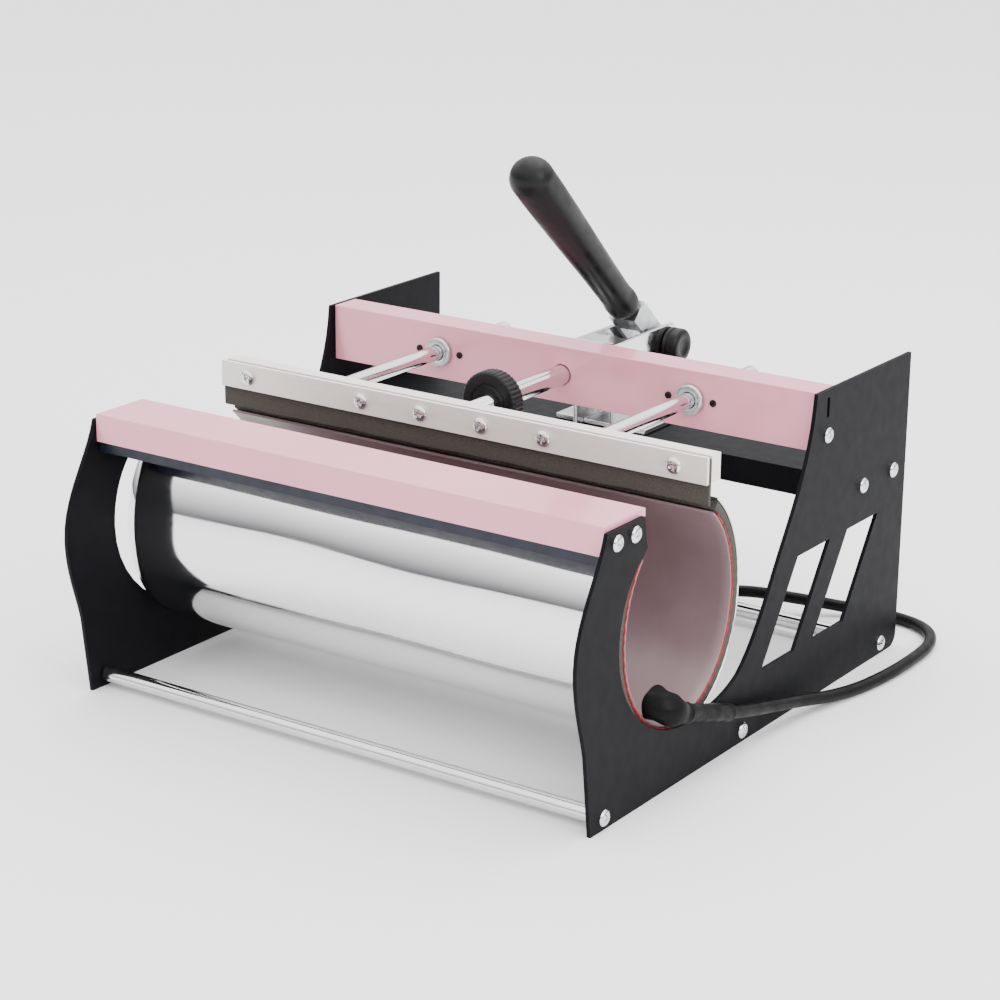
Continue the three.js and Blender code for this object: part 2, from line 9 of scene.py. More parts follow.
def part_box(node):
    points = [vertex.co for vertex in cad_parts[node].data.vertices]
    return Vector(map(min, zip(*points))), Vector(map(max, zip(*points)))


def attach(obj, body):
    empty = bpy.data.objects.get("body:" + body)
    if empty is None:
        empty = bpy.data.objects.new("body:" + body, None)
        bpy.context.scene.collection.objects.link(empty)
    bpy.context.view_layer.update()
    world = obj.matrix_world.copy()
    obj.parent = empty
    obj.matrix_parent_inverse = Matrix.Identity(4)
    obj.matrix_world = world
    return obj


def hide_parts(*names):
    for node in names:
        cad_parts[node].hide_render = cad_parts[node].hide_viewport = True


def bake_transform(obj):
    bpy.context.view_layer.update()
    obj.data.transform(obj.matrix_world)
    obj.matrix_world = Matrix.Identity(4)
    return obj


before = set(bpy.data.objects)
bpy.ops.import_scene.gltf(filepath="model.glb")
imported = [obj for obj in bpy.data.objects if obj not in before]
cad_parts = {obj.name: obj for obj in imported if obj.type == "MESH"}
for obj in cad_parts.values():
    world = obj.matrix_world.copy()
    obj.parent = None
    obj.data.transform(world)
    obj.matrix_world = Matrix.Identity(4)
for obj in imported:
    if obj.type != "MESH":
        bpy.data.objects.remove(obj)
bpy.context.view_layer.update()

bl_info = {
    "name": "Mug heat press",
    "version": (1, 0, 0),
    "blender": (4, 5, 0),
    "location": "View3D > Sidebar > Mug press",
    "description": "Dresses the mug press frame in its sheet metal, heater band, hardware and cable",
    "category": "Add Mesh",
}

MM = 0.001
BOX = {name: (np.array(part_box(name)[0]), np.array(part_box(name)[1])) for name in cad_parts}


def middle(node):
    """The centre of a node's box."""
    return (BOX[node][0] + BOX[node][1]) / 2


# Where the side plates' front foot stands: cable points are written from there.
PLATE_DEPTH = 0.298
FOOT_Y = BOX["side_plate_left"][1][1] - PLATE_DEPTH


# ---- Settings -----------------------------------------------------------------------------
def colour(name, text, rgb):
    return bpy.props.FloatVectorProperty(
        name=name, description=text, subtype="COLOR", size=3, min=0, max=1, default=rgb)


def length(name, text, value):
    return bpy.props.FloatProperty(
        name=name, description=text, unit="LENGTH", precision=5, min=0, default=value)


class FinishSettings(bpy.types.PropertyGroup):
    """Colours of the finishes."""
    pink: colour("Pink paint", "Satin paint on the two channels", (0.74, 0.285, 0.365))
    powder: colour("Powder coat", "Black coat on the plates", (0.003, 0.003, 0.0045))
    # Painted shade: the front clamp strip's blue-black stands in for the shaded gap under the front channel
    # and its dark reflection in the cover.
    clamp: colour("Front clamp", "Blue-black strip under the front channel", (0.004, 0.006, 0.016))
    strip: colour("Clamp strip", "Brushed stainless strip", (0.86, 0.825, 0.765))
    sheet: colour("Heater cover", "Polished stainless sheet", (0.86, 0.86, 0.875))
    chrome: colour("Chrome", "Rods and screws", (0.74, 0.745, 0.75))
    foam: colour("Foam", "Insulating foam at the heater's rim", (0.058, 0.052, 0.045))
    silicone: colour("Silicone", "Red heating layer", (0.33, 0.008, 0.014))
    liner: colour("Liner", "Coated cloth inside the heater", (0.17, 0.112, 0.12))
    plastic: colour("Plastic", "Grip, knob and caps", (0.0025, 0.0025, 0.003))
    zinc: colour("Zinc", "Lever steel and bushings", (0.56, 0.57, 0.58))
    jacket: colour("Cable jacket", "Rubber round the cable", (0.0016, 0.0016, 0.0019))
    rubber: colour("Rubber", "Cable boot, sleeve and tie", (0.0016, 0.0016, 0.0018))


class HeaterSettings(bpy.types.PropertyGroup):
    """The oval heater band and its layers."""
    height: length("Oval height", "Half the outside height of the oval", 0.060)
    front_end: bpy.props.FloatProperty(
        name="Front end", description="Where the band starts, round the oval from the rear",
        subtype="ANGLE", default=math.radians(134))
    rear_end: bpy.props.FloatProperty(
        name="Rear end", description="Where the band ends under the moving bar",
        subtype="ANGLE", default=math.radians(415))
    cover: length("Cover", "Stainless sheet thickness", 0.0008)
    foam: length("Foam", "Depth at which the foam ends", 0.0056)
    silicone: length("Silicone", "Depth at which the red layer ends", 0.0067)
    liner: length("Liner", "Depth at which the liner ends", 0.0080)
    wave: length("Waviness", "How far the thin cover strays from a true oval", 0.00012)


class HardwareSettings(bpy.types.PropertyGroup):
    """Screws, thread and knob."""
    head: length("Screw head", "Radius of a pan head", 0.004)
    head_height: length("Head height", "Height of a pan head", 0.0024)
    thread_pitch: length("Thread pitch", "Pitch of the spindle's thread", 0.00125)
    thread_depth: length("Thread depth", "Depth of the spindle's thread", 0.0006)
    ribs: bpy.props.IntProperty(name="Knob ribs", description="Ribs round the knob", default=40)


class LeverSettings(bpy.types.PropertyGroup):
    """The handle on the lever."""
    open_turn: bpy.props.FloatProperty(
        name="Open turn", description="The lever's line above the rear when open",
        subtype="ANGLE", default=math.radians(137.2))
    grip_start: length("Grip start", "From the pivot to the grip's lower end", 0.035)
    grip_end: length("Grip end", "From the pivot to the grip's tip", 0.169)
    grip_small: length("Grip neck", "Radius at the lower end", 0.0086)
    grip_large: length("Grip head", "Radius near the tip", 0.0116)


class CableSettings(bpy.types.PropertyGroup):
    """The cable and the way it is stored."""
    diameter: length("Diameter", "Outside of the rubber jacket", 0.0064)
    coil_start: length("Coil start", "Radius where the cable enters the coil", 0.046)
    coil_inner: length("Coil inner", "Radius of the smallest turn", 0.036)
    pitch: length("Turn pitch", "How far the turns lie apart", 0.0069)


class StudioSettings(bpy.types.PropertyGroup):
    """Floor, lamps and camera."""
    floor: colour("Floor", "Plain pale floor", (0.90, 0.90, 0.90))
    key_power: bpy.props.FloatProperty(name="Key", description="Large lamp over the press", default=22)
    horizon: colour("Horizon", "Colour of the sky at eye level", (0.06, 0.06, 0.065))
    sky_power: bpy.props.FloatProperty(name="Sky", description="Strength of the sky", default=2.7)
    side_power: bpy.props.FloatProperty(name="Side", description="Lamp to the right", default=14)
    lens: bpy.props.FloatProperty(name="Lens", description="Focal length", unit="CAMERA", default=98)


# ---- Surfaces -----------------------------------------------------------------------------
def quads(nu, nv, wrap_u, wrap_v, start=0):
    """The faces of an nu by nv grid, as an array of four corners each."""
    u = np.arange(nu if wrap_u else nu - 1)
    v = np.arange(nv if wrap_v else nv - 1)
    i, j = np.meshgrid(u, v, indexing="ij")
    k, m = (i + 1) % nu, (j + 1) % nv
    return start + np.stack([i * nv + j, k * nv + j, k * nv + m, i * nv + m], -1).reshape(-1, 4)


def build(name, grids, material, body, sharp=40, uvs=None):
    """One mesh piece from several point grids: each is (points, closed along u, closed along v).
    Doubles at poles and seams are merged, open ends are capped, and faces are turned outwards."""
    verts, faces, start = [], [], 0
    for points, wrap_u, wrap_v in grids:
        nu, nv = points.shape[:2]
        verts.append(points.reshape(-1, 3))
        faces.append(quads(nu, nv, wrap_u, wrap_v, start))
        start += nu * nv
    verts, faces = np.concatenate(verts), np.concatenate(faces)
    mesh = bpy.data.meshes.new(name)
    mesh.from_pydata(verts.tolist(), [], faces.tolist())
    if uvs is not None:
        layer = mesh.uv_layers.new(name="UVMap")
        layer.data.foreach_set("uv", np.concatenate(uvs).astype(np.float32).ravel())
    bm = bmesh.new()
    bm.from_mesh(mesh)
    bmesh.ops.remove_doubles(bm, verts=bm.verts, dist=2e-7)
    bmesh.ops.dissolve_degenerate(bm, edges=bm.edges, dist=1e-8)
    rims = [e for e in bm.edges if e.is_boundary]
    if rims:
        bmesh.ops.holes_fill(bm, edges=rims, sides=0)
    bmesh.ops.recalc_face_normals(bm, faces=bm.faces)
    bm.to_mesh(mesh)
    bm.free()
    return piece(name, mesh, material, body, sharp)


def piece(name, mesh, material, body, sharp=40):
    """A mesh as an object of the press: smooth but for its sharp edges, on its body."""
    mesh.materials.clear()
    mesh.materials.append(material)
    mesh.shade_smooth()
    mesh.set_sharp_from_angle(angle=math.radians(sharp))
    made = bpy.data.objects.new(name, mesh)
    bpy.context.scene.collection.objects.link(made)
    if body:
        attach(made, body)
    return made


AXES = {
    "x": (np.array([1.0, 0, 0]), np.array([0, 1.0, 0]), np.array([0, 0, 1.0])),
    "y": (np.array([0, 1.0, 0]), np.array([0, 0, 1.0]), np.array([1.0, 0, 0])),
}


def turned(profile, origin, axis="y", sides=48, ripple=None):
    """A surface of revolution: the point at (k, t) is origin + along_k * axis + r_k * (cos t, sin t)
    across the axis. ripple(t, k) multiplies the radius. The profile is (radius, along) pairs."""
    a, e1, e2 = AXES[axis] if isinstance(axis, str) else axis
    r, along = np.asarray(profile, float).T
    t = np.linspace(0, 2 * np.pi, sides, endpoint=False)
    radius = r[:, None] * np.ones(sides)
    if ripple is not None:
        radius = radius * ripple(t[None, :], np.arange(len(r))[:, None])
    ring = np.cos(t)[None, :, None] * e1 + np.sin(t)[None, :, None] * e2
    points = np.asarray(origin) + along[:, None, None] * a + radius[..., None] * ring
    return points, False, True


def rod_profile(radius, start, end, chamfer=0.0006):
    """A plain rod with chamfered ends, as (radius, along) pairs from axis to axis."""
    return [(0, start), (radius - chamfer, start), (radius, start + chamfer), (radius, end - chamfer),
            (radius - chamfer, end), (0, end)]


def catmull(points, per_span=12):
    """Catmull-Rom curve through points: each span is the cubic that meets its ends with slopes half
    the chord between their neighbours."""
    p = np.asarray(points, float)
    p = np.vstack([2 * p[0] - p[1], p, 2 * p[-1] - p[-2]])
    s = np.linspace(0, 1, per_span, endpoint=False)[None, :, None]
    a, b, c, d = (p[k:len(p) - 3 + k, None, :] for k in range(4))
    curve = 0.5 * (2 * b + (c - a) * s + (2 * a - 5 * b + 4 * c - d) * s**2 + (3 * b - a - 3 * c + d) * s**3)
    return np.vstack([curve.reshape(-1, 3), p[-2]])


def along_path(path, radius, sides):
    """A tube: at each path point a circle of the given radius stands square to the path.
    radius is an array of (path points, sides) or one number. Also returns each corner's UV."""
    tangent = np.gradient(path, axis=0)
    tangent /= np.linalg.norm(tangent, axis=1, keepdims=True)
    side = np.cross(tangent, [0, 0, 1.0])
    side /= np.linalg.norm(side, axis=1, keepdims=True)
    up = np.cross(side, tangent)
    t = np.linspace(0, 2 * np.pi, sides, endpoint=False)
    radius = np.broadcast_to(radius, (len(path), sides))[..., None]
    circle = np.cos(t)[None, :, None] * side[:, None] + np.sin(t)[None, :, None] * up[:, None]
    points = path[:, None] + radius * circle
    far = np.concatenate([[0], np.cumsum(np.linalg.norm(np.diff(path, axis=0), axis=1))])
    i, j = np.meshgrid(np.arange(len(path) - 1), np.arange(sides), indexing="ij")
    corner = lambda di, dj: np.stack([far[i + di], (j + dj) / sides], -1)
    uv = np.stack([corner(0, 0), corner(1, 0), corner(1, 1), corner(0, 1)], 2).reshape(-1, 2)
    return (points, False, True), uv


def smooth_step(x):
    """0 below 0, 1 above 1, and 3 x^2 - 2 x^3 between them."""
    x = np.clip(x, 0, 1)
    return x * x * (3 - 2 * x)


# ---- Materials ----------------------------------------------------------------------------
class Finish:
    """A node material for one finish, with short calls for its grain, colour change and bump."""

    def __init__(self, name, base, rough, metal=0.0, **sockets):
        self.mat = bpy.data.materials.new(name)
        self.mat.use_nodes = True
        self.tree = self.mat.node_tree
        self.shader = self.tree.nodes["Principled BSDF"]
        self.set("Base Color", (*base, 1))
        self.set("Roughness", rough)
        self.set("Metallic", metal)
        for key, value in sockets.items():
            self.set(key.replace("_", " "), value)
        self.base = base

    def set(self, socket, value):
        self.shader.inputs[socket].default_value = value

    def node(self, kind, **values):
        """A new node of a kind, with its settings."""
        made = self.tree.nodes.new(kind)
        for key, value in values.items():
            setattr(made, key, value)
        return made

    def link(self, a, b):
        self.tree.links.new(a, b)

    def grain(self, scale, stretch=(1, 1, 1), detail=3.0, rough=0.5, source="Object"):
        """Noise on object coordinates, stretched along an axis; scale is per metre."""
        where = self.node("ShaderNodeTexCoord")
        mapping = self.node("ShaderNodeMapping")
        mapping.inputs["Scale"].default_value = stretch
        noise = self.node("ShaderNodeTexNoise")
        noise.inputs["Scale"].default_value = scale
        noise.inputs["Detail"].default_value = detail
        noise.inputs["Roughness"].default_value = rough
        self.link(where.outputs[source], mapping.inputs["Vector"])
        self.link(mapping.outputs["Vector"], noise.inputs["Vector"])
        return noise.outputs["Fac"]

    def waves(self, scale, turn=(0, 0, 0), source="UV", stretch=(1, 1, 1)):
        """Straight bands across a direction."""
        where = self.node("ShaderNodeTexCoord")
        mapping = self.node("ShaderNodeMapping")
        mapping.inputs["Rotation"].default_value = turn
        mapping.inputs["Scale"].default_value = stretch
        wave = self.node("ShaderNodeTexWave", wave_profile="SIN")
        wave.inputs["Scale"].default_value = scale
        self.link(where.outputs[source], mapping.inputs["Vector"])
        self.link(mapping.outputs["Vector"], wave.inputs["Vector"])
        return wave.outputs["Fac"]

    def ramp(self, fac, low, high, a=0.35, b=0.65):
        """A number that goes from low to high as fac goes from a to b."""
        made = self.node("ShaderNodeMapRange")
        for key, value in {"From Min": a, "From Max": b, "To Min": low, "To Max": high}.items():
            made.inputs[key].default_value = value
        self.link(fac, made.inputs["Value"])
        return made.outputs["Result"]

    def tint(self, fac, dark, light):
        """Base colour mixed from dark to light times the base by fac."""
        mix = self.node("ShaderNodeMix", data_type="RGBA")
        mix.inputs["A"].default_value = (*(c * dark for c in self.base), 1)
        mix.inputs["B"].default_value = (*(min(1, c * light) for c in self.base), 1)
        self.link(fac, mix.inputs["Factor"])
        self.link(mix.outputs["Result"], self.shader.inputs["Base Color"])
        return self

    def shine(self, fac, low, high):
        """Roughness from low to high by fac."""
        self.link(self.ramp(fac, low, high), self.shader.inputs["Roughness"])
        return self

    def bump(self, fac, height, strength=1.0):
        """A bump of the given height over those that are there already."""
        made = self.node("ShaderNodeBump")
        made.inputs["Strength"].default_value = strength
        made.inputs["Distance"].default_value = height
        self.link(fac, made.inputs["Height"])
        before = self.shader.inputs["Normal"]
        if before.is_linked:
            self.link(before.links[0].from_socket, made.inputs["Normal"])
        self.link(made.outputs["Normal"], before)
        return self


def powder_coat(c):
    """Satin black powder coat: fine orange peel and faint handling marks."""
    f = Finish("powder coat", c.powder, rough=0.50, metal=0.0, Specular_IOR_Level=0.08)
    f.bump(f.grain(2600, detail=2), height=0.00004, strength=0.6)
    f.bump(f.grain(420, detail=2), height=0.00003, strength=0.25)
    f.tint(f.ramp(f.grain(90, detail=5), 0, 1), dark=0.94, light=1.08)
    return f.shine(f.grain(140, detail=5), low=0.49, high=0.54).mat


def clamp_painted_shade(c):
    """A steel flat that holds the heater's front end, satin with drawing lines along it. Its blue-black
    colour is painted shade: it stands in for the shaded gap under the front channel and that gap's dark
    reflection in the heater cover.
    """
    f = Finish("clamp painted shade", c.clamp, rough=0.4, metal=0.0, Specular_IOR_Level=0.35)
    f.bump(f.grain(1500, (0.02, 1, 1), detail=3), height=0.00002, strength=0.4)
    f.tint(f.ramp(f.grain(90, detail=4), 0, 1), dark=0.8, light=1.3)
    return f.shine(f.grain(200, detail=3), low=0.32, high=0.48).mat


def pink_paint(c):
    """Smooth satin paint with slight flow marks under a thin gloss."""
    f = Finish("pink paint", c.pink, rough=0.34, metal=0.0, Coat_Weight=0.55, Coat_Roughness=0.10)
    f.bump(f.grain(260, detail=1), height=0.00004, strength=0.25)
    f.bump(f.grain(3000, detail=2), height=0.00001, strength=0.3)
    f.tint(f.ramp(f.grain(18, detail=4), 0, 1), dark=0.96, light=1.03)
    return f.shine(f.grain(45, detail=3), low=0.29, high=0.39).mat


def chrome_plate(c):
    """Bright chrome with fine drawing marks along the rod."""
    f = Finish("chrome plate", c.chrome, rough=0.12, metal=1.0)
    f.bump(f.grain(900, (0.05, 1, 1), detail=3), height=0.000006, strength=0.4)
    f.tint(f.ramp(f.grain(70, detail=4), 0, 1), dark=0.93, light=1.0)
    return f.shine(f.grain(300, (0.2, 1, 1), detail=4), low=0.08, high=0.19).mat


def brushed_strip(c):
    """Stainless flat bar, brushed along its length."""
    f = Finish("brushed strip", c.strip, rough=0.48, metal=0.3)
    lines = f.grain(2400, (0.012, 1, 1), detail=4, rough=0.65)
    f.bump(lines, height=0.00002, strength=0.5)
    f.tint(f.ramp(lines, 0, 1, 0.3, 0.7), dark=0.88, light=1.06)
    return f.shine(f.grain(900, (0.02, 1, 1), detail=3), low=0.40, high=0.56).mat


def polished_sheet(c):
    """Mirror-finished stainless sheet with rolling lines along the heater."""
    f = Finish("polished sheet", c.sheet, rough=0.07, metal=1.0)
    lines = f.grain(1500, (0.01, 1, 1), detail=4, rough=0.6)
    f.bump(lines, height=0.000004, strength=0.3)
    f.tint(f.ramp(f.grain(25, (0.3, 1, 1), detail=5), 0, 1), dark=0.95, light=1.0)
    return f.shine(lines, low=0.045, high=0.10).mat


def rim_foam(c):
    """Closed-cell foam: small open cells on the cut faces."""
    f = Finish("rim foam", c.foam, rough=0.9, metal=0.0, Specular_IOR_Level=0.25)
    cells = f.grain(2200, detail=2)
    f.bump(cells, height=0.00018, strength=0.8)
    return f.tint(f.ramp(cells, 0, 1, 0.3, 0.7), dark=0.6, light=1.5).mat


def red_silicone(c):
    """Matt red silicone rubber, slightly ragged at its cut edge."""
    f = Finish("red silicone", c.silicone, rough=0.6, metal=0.0, Specular_IOR_Level=0.35)
    f.bump(f.grain(1400, detail=3), height=0.0001, strength=0.6)
    return f.tint(f.ramp(f.grain(300, detail=4), 0, 1), dark=0.55, light=1.15).mat


def liner_cloth(c):
    """Coated glass cloth: a tight plain weave under a smooth film, with soft heat stains."""
    f = Finish("liner cloth", c.liner, rough=0.5, metal=0.0, Coat_Weight=0.3, Coat_Roughness=0.3)
    f.bump(f.waves(900, source="Object"), height=0.00003, strength=0.35)
    f.bump(f.waves(900, (0, math.pi / 2, 0), source="Object"), height=0.00003, strength=0.35)
    f.bump(f.grain(40, (0.4, 1, 1), detail=3), height=0.0006, strength=0.25)
    f.tint(f.ramp(f.grain(14, detail=5), 0, 1), dark=0.85, light=1.25)
    return f.shine(f.grain(30, detail=4), low=0.42, high=0.6).mat


def gloss_plastic(c):
    """Moulded black plastic: glossy with a faint spark texture and fine scuffs."""
    f = Finish("gloss plastic", c.plastic, rough=0.36, metal=0.0, Specular_IOR_Level=0.22)
    f.bump(f.grain(1800, detail=2), height=0.00003, strength=0.35)
    f.tint(f.ramp(f.grain(60, detail=4), 0, 1), dark=0.8, light=1.6)
    return f.shine(f.grain(120, detail=5), low=0.32, high=0.48).mat


def cast_zinc(c):
    """Dull plated steel of the lever and bushings."""
    f = Finish("zinc plate", c.zinc, rough=0.34, metal=1.0)
    f.bump(f.grain(1500, detail=3), height=0.00002, strength=0.4)
    f.tint(f.ramp(f.grain(150, detail=5), 0, 1), dark=0.85, light=1.08)
    return f.shine(f.grain(200, detail=4), low=0.26, high=0.44).mat


def cable_jacket(c):
    """Smooth black rubber jacket: a soft sheen, faint lay of the wires inside and light dust."""
    f = Finish("cable jacket", c.jacket, rough=0.42, metal=0.0, Specular_IOR_Level=0.12)
    f.bump(f.waves(1.0, stretch=(18, 1.0, 1)), height=0.00005, strength=0.2)
    f.bump(f.grain(900, detail=3), height=0.00003, strength=0.4)
    f.tint(f.ramp(f.grain(260, detail=4), 0, 1), dark=0.8, light=1.3)
    return f.shine(f.grain(120, detail=4), low=0.34, high=0.52).mat


def rubber_boot(c):
    """Soft black rubber with a dusty bloom."""
    f = Finish("rubber boot", c.rubber, rough=0.5, metal=0.0, Specular_IOR_Level=0.10)
    f.bump(f.grain(700, detail=3), height=0.0001, strength=0.5)
    return f.shine(f.grain(150, detail=4), low=0.36, high=0.62).mat


MAKERS = {
    "powder": powder_coat, "clamp": clamp_painted_shade, "pink": pink_paint, "chrome": chrome_plate,
    "strip": brushed_strip, "sheet": polished_sheet, "foam": rim_foam, "silicone": red_silicone,
    "liner": liner_cloth, "plastic": gloss_plastic, "zinc": cast_zinc, "jacket": cable_jacket,
    "rubber": rubber_boot,
}
_made = {}


def finish_of(key):
    """The material of one finish, made once."""
    if key not in _made:
        _made[key] = MAKERS[key](bpy.context.scene.mug_press_finish)
    return _made[key]


SHEET_EDGE, BAR_EDGE, FOLD_EDGE, SHELF_EDGE = 0.00025, 0.0004, 0.0011, 0.0012


def dress(node, key, bevel, segments=2):
    """Gives a flat CAD node its finish, and rounds its edges over by a small bevel."""
    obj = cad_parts[node]
    obj.data.materials.clear()
    obj.data.materials.append(finish_of(key))
    weld = obj.modifiers.new("weld", "WELD")
    weld.merge_threshold = 1e-5
    edge = obj.modifiers.new("edge", "BEVEL")
    edge.width = bevel
    edge.segments = segments
    edge.limit_method = "ANGLE"
    edge.angle_limit = math.radians(50)
    edge.harden_normals = True
    return obj


def remade(node, key, body, bevel=0.0004, segments=2):
    """A smooth copy of a round CAD node: merged, shaded by angle and with rounded edges."""
    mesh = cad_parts[node].data.copy()
    bm = bmesh.new()
    bm.from_mesh(mesh)
    bmesh.ops.remove_doubles(bm, verts=bm.verts, dist=1e-6)
    bmesh.ops.dissolve_limit(bm, angle_limit=math.radians(1), verts=bm.verts, edges=bm.edges)
    bm.to_mesh(mesh)
    bm.free()
    made = piece(node + "_body", mesh, finish_of(key), body, 30)
    edge = made.modifiers.new("edge", "BEVEL")
    edge.width = bevel
    edge.segments = segments
    edge.limit_method = "ANGLE"
    edge.angle_limit = math.radians(40)
    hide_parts(node)
    return made


# ---- Frame --------------------------------------------------------------------------------
class MUGPRESS_OT_frame(bpy.types.Operator):
    """Side plates, toggle platform, the two channels and the strip that holds the heater's front end"""
    bl_idname = "mug_press.frame"
    bl_label = "Frame"
    bl_options = {"REGISTER", "UNDO"}

    def execute(self, context):
        for node in ("side_plate_left", "side_plate_right"):
            dress(node, "powder", SHEET_EDGE)
        dress("toggle_platform", "powder", SHELF_EDGE, 4)
        for node in ("front_channel", "rear_channel"):
            dress(node, "pink", FOLD_EDGE, 4)
        # The strip's blue-black finish is painted shade for the gap under the front channel.
        dress("front_clamp_strip", "clamp", BAR_EDGE)
        return {"FINISHED"}


class MUGPRESS_OT_rods(bpy.types.Operator):
    """Tie rods and guide rods, turned with chamfered ends, and the flanged bushings"""
    bl_idname = "mug_press.rods"
    bl_label = "Rods and bushings"
    bl_options = {"REGISTER", "UNDO"}

    def execute(self, context):
        for where in ("front", "middle", "rear"):
            self.rod(f"tie_rod_{where}", "frame", "x", 0)
        for side in ("left", "right"):
            self.rod(f"guide_rod_{side}", "carriage", "y", 1)
            self.bushing(side)
            self.cap_screws(side)
        return {"FINISHED"}

    def rod(self, node, body, axis, k):
        lo, hi = BOX[node]
        reach, radius = (hi[k] - lo[k]) / 2, (hi[2] - lo[2]) / 2
        shape = turned(rod_profile(radius, -reach, reach), middle(node), axis)
        made = build(node + "_turned", [shape], finish_of("chrome"), body)
        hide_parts(node)

    def bushing(self, side):
        """A flange with a rounded rim and a seam ring, and the sleeve behind it."""
        node = f"guide_bushing_{side}"
        lo, hi = BOX[node]
        centre = middle(node)
        face, back = lo[1] - centre[1], hi[1] - centre[1]
        bore, sleeve, flange = 0.0042, 0.0056, (hi[0] - lo[0]) / 2
        lip, seam, thick, rim = 0.0004, 0.0005, 0.0027, 0.0012
        seam_start, seam_end, seam_slope = 0.0058, 0.0066, 0.0002
        arc = np.linspace(0, np.pi / 2, 6)
        edge = [(flange - rim + rim * np.sin(a), face + rim - rim * np.cos(a)) for a in arc]
        profile = [(bore, face + lip), (bore + lip, face), (seam_start, face),
                   (seam_start + seam_slope, face + seam), (seam_end - seam_slope, face + seam),
                   (seam_end, face), *edge, (flange, face + thick), (sleeve, face + thick),
                   (sleeve, back), (bore, back), (bore, face + lip)]
        shape = turned(profile, centre, "y", 64)
        made = build(node + "_turned", [shape], finish_of("zinc"), "frame")
        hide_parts(node)

    def cap_screws(self, side):
        """The two small dark screws beside a bushing: a flat head with a fine ring groove."""
        x, _, z = middle(f"guide_bushing_{side}")
        front = BOX["rear_channel"][0][1]
        aside, head, proud, sunk, chamfer = 0.013, 0.0018, 0.0010, 0.0002, 0.0003
        groove, deep, half = 0.0009, 0.0006, 0.0001
        profile = [(0, -proud), (groove - half, -proud), (groove, deep - proud), (groove + half, -proud),
                   (head - chamfer, -proud), (head, chamfer - proud), (head, sunk), (0, sunk)]
        heads = [turned(profile, (x + dx, front, z), "y", 24) for dx in (-aside, aside)]
        build(f"bushing_screws_{side}", heads, finish_of("plastic"), "frame")


# ---- Screws -------------------------------------------------------------------------------
def pan_head(centre, outward, settings, turn):
    """A pan head with a cross recess, on a polar grid: the height is a flattened dome,
    h sqrt(1 - 0.8 (r/R)^3.2), less a cross whose bars have soft sides and get deeper inwards."""
    R, h = settings.head, settings.head_height
    half_bar, bar_side, bar_end, end_side = 0.00058, 0.00016, 0.0024, 0.0004
    shallow, deeper = 0.0007, 0.0008
    r = np.concatenate([np.linspace(0, 0.62, 15), np.linspace(0.66, 1, 9)]) * R
    t = np.linspace(0, 2 * np.pi, 64, endpoint=False)
    rr, tt = np.meshgrid(r, t, indexing="ij")
    a, b = rr * np.cos(tt), rr * np.sin(tt)
    dome = h * np.sqrt(np.clip(1 - 0.80 * (rr / R) ** 3.2, 0, 1))
    bar = np.minimum(np.abs(a), np.abs(b))
    cross = smooth_step((half_bar - bar) / bar_side) * smooth_step((bar_end - rr) / end_side)
    height = dome - cross * (shallow + deeper * (1 - rr / bar_end).clip(0, 1))
    c, s = math.cos(turn), math.sin(turn)
    u, v = a * c - b * s, a * s + b * c
    e = np.asarray(outward, float)
    e1 = np.array([0, 0, 1.0])
    e2 = np.cross(e, e1)
    top = centre + height[..., None] * e + u[..., None] * e1 + v[..., None] * e2
    seat = top[-1:] - height[-1:, :, None] * e
    return np.concatenate([top, seat, np.broadcast_to(centre, seat.shape)]), False, True


class MUGPRESS_OT_screws(bpy.types.Operator):
    """Cross-recessed pan heads: eight on each side plate and six along the moving bar"""
    bl_idname = "mug_press.screws"
    bl_label = "Screws"
    bl_options = {"REGISTER", "UNDO"}

    def execute(self, context):
        settings = context.scene.mug_press_hardware
        for side, sign in (("left", -1), ("right", 1)):
            plate = BOX[f"side_plate_{side}"]
            face = plate[1][0] if sign > 0 else plate[0][0]
            nodes = [f"plate_screw_{side}_{i}" for i in range(1, 9)]
            spots = [np.array([face, middle(n)[1], middle(n)[2]]) for n in nodes]
            self.heads(f"plate_screws_{side}", nodes, spots, (sign, 0, 0), "frame", settings)
        nodes = [f"bar_screw_{i}" for i in range(1, 7)]
        face = BOX["bar_clamp_strip"][0][1]
        spots = [np.array([middle(n)[0], face, middle(n)[2]]) for n in nodes]
        self.heads("bar_screws", nodes, spots, (0, -1, 0), "carriage", settings)
        return {"FINISHED"}

    def heads(self, name, nodes, spots, outward, body, settings):
        first, between = 0.35, 1.9  # how the cross recesses are turned, one screw after another
        grids = [pan_head(p, outward, settings, first + between * i) for i, p in enumerate(spots)]
        made = build(name, grids, finish_of("chrome"), body, 30)
        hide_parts(*nodes)


# ---- Heater -------------------------------------------------------------------------------
class Oval:
    """The heater's oval, from the boxes of its cover's two halves."""

    def __init__(self, settings):
        front, rear = BOX["heater_sheet_front"], BOX["heater_sheet_rear"]
        self.a = (rear[1][1] - front[0][1]) / 2
        self.b = settings.height
        self.y = (rear[1][1] + front[0][1]) / 2
        self.z = front[0][2] + self.b
        self.x0, self.x1 = front[0][0], front[1][0]

    def at(self, x, turn, depth):
        """The point at x, at an angle round the oval and a depth inside its outside."""
        y = self.y + (self.a - depth) * np.cos(turn)
        z = self.z + (self.b - depth) * np.sin(turn)
        return np.stack(np.broadcast_arrays(x, y, z), -1)


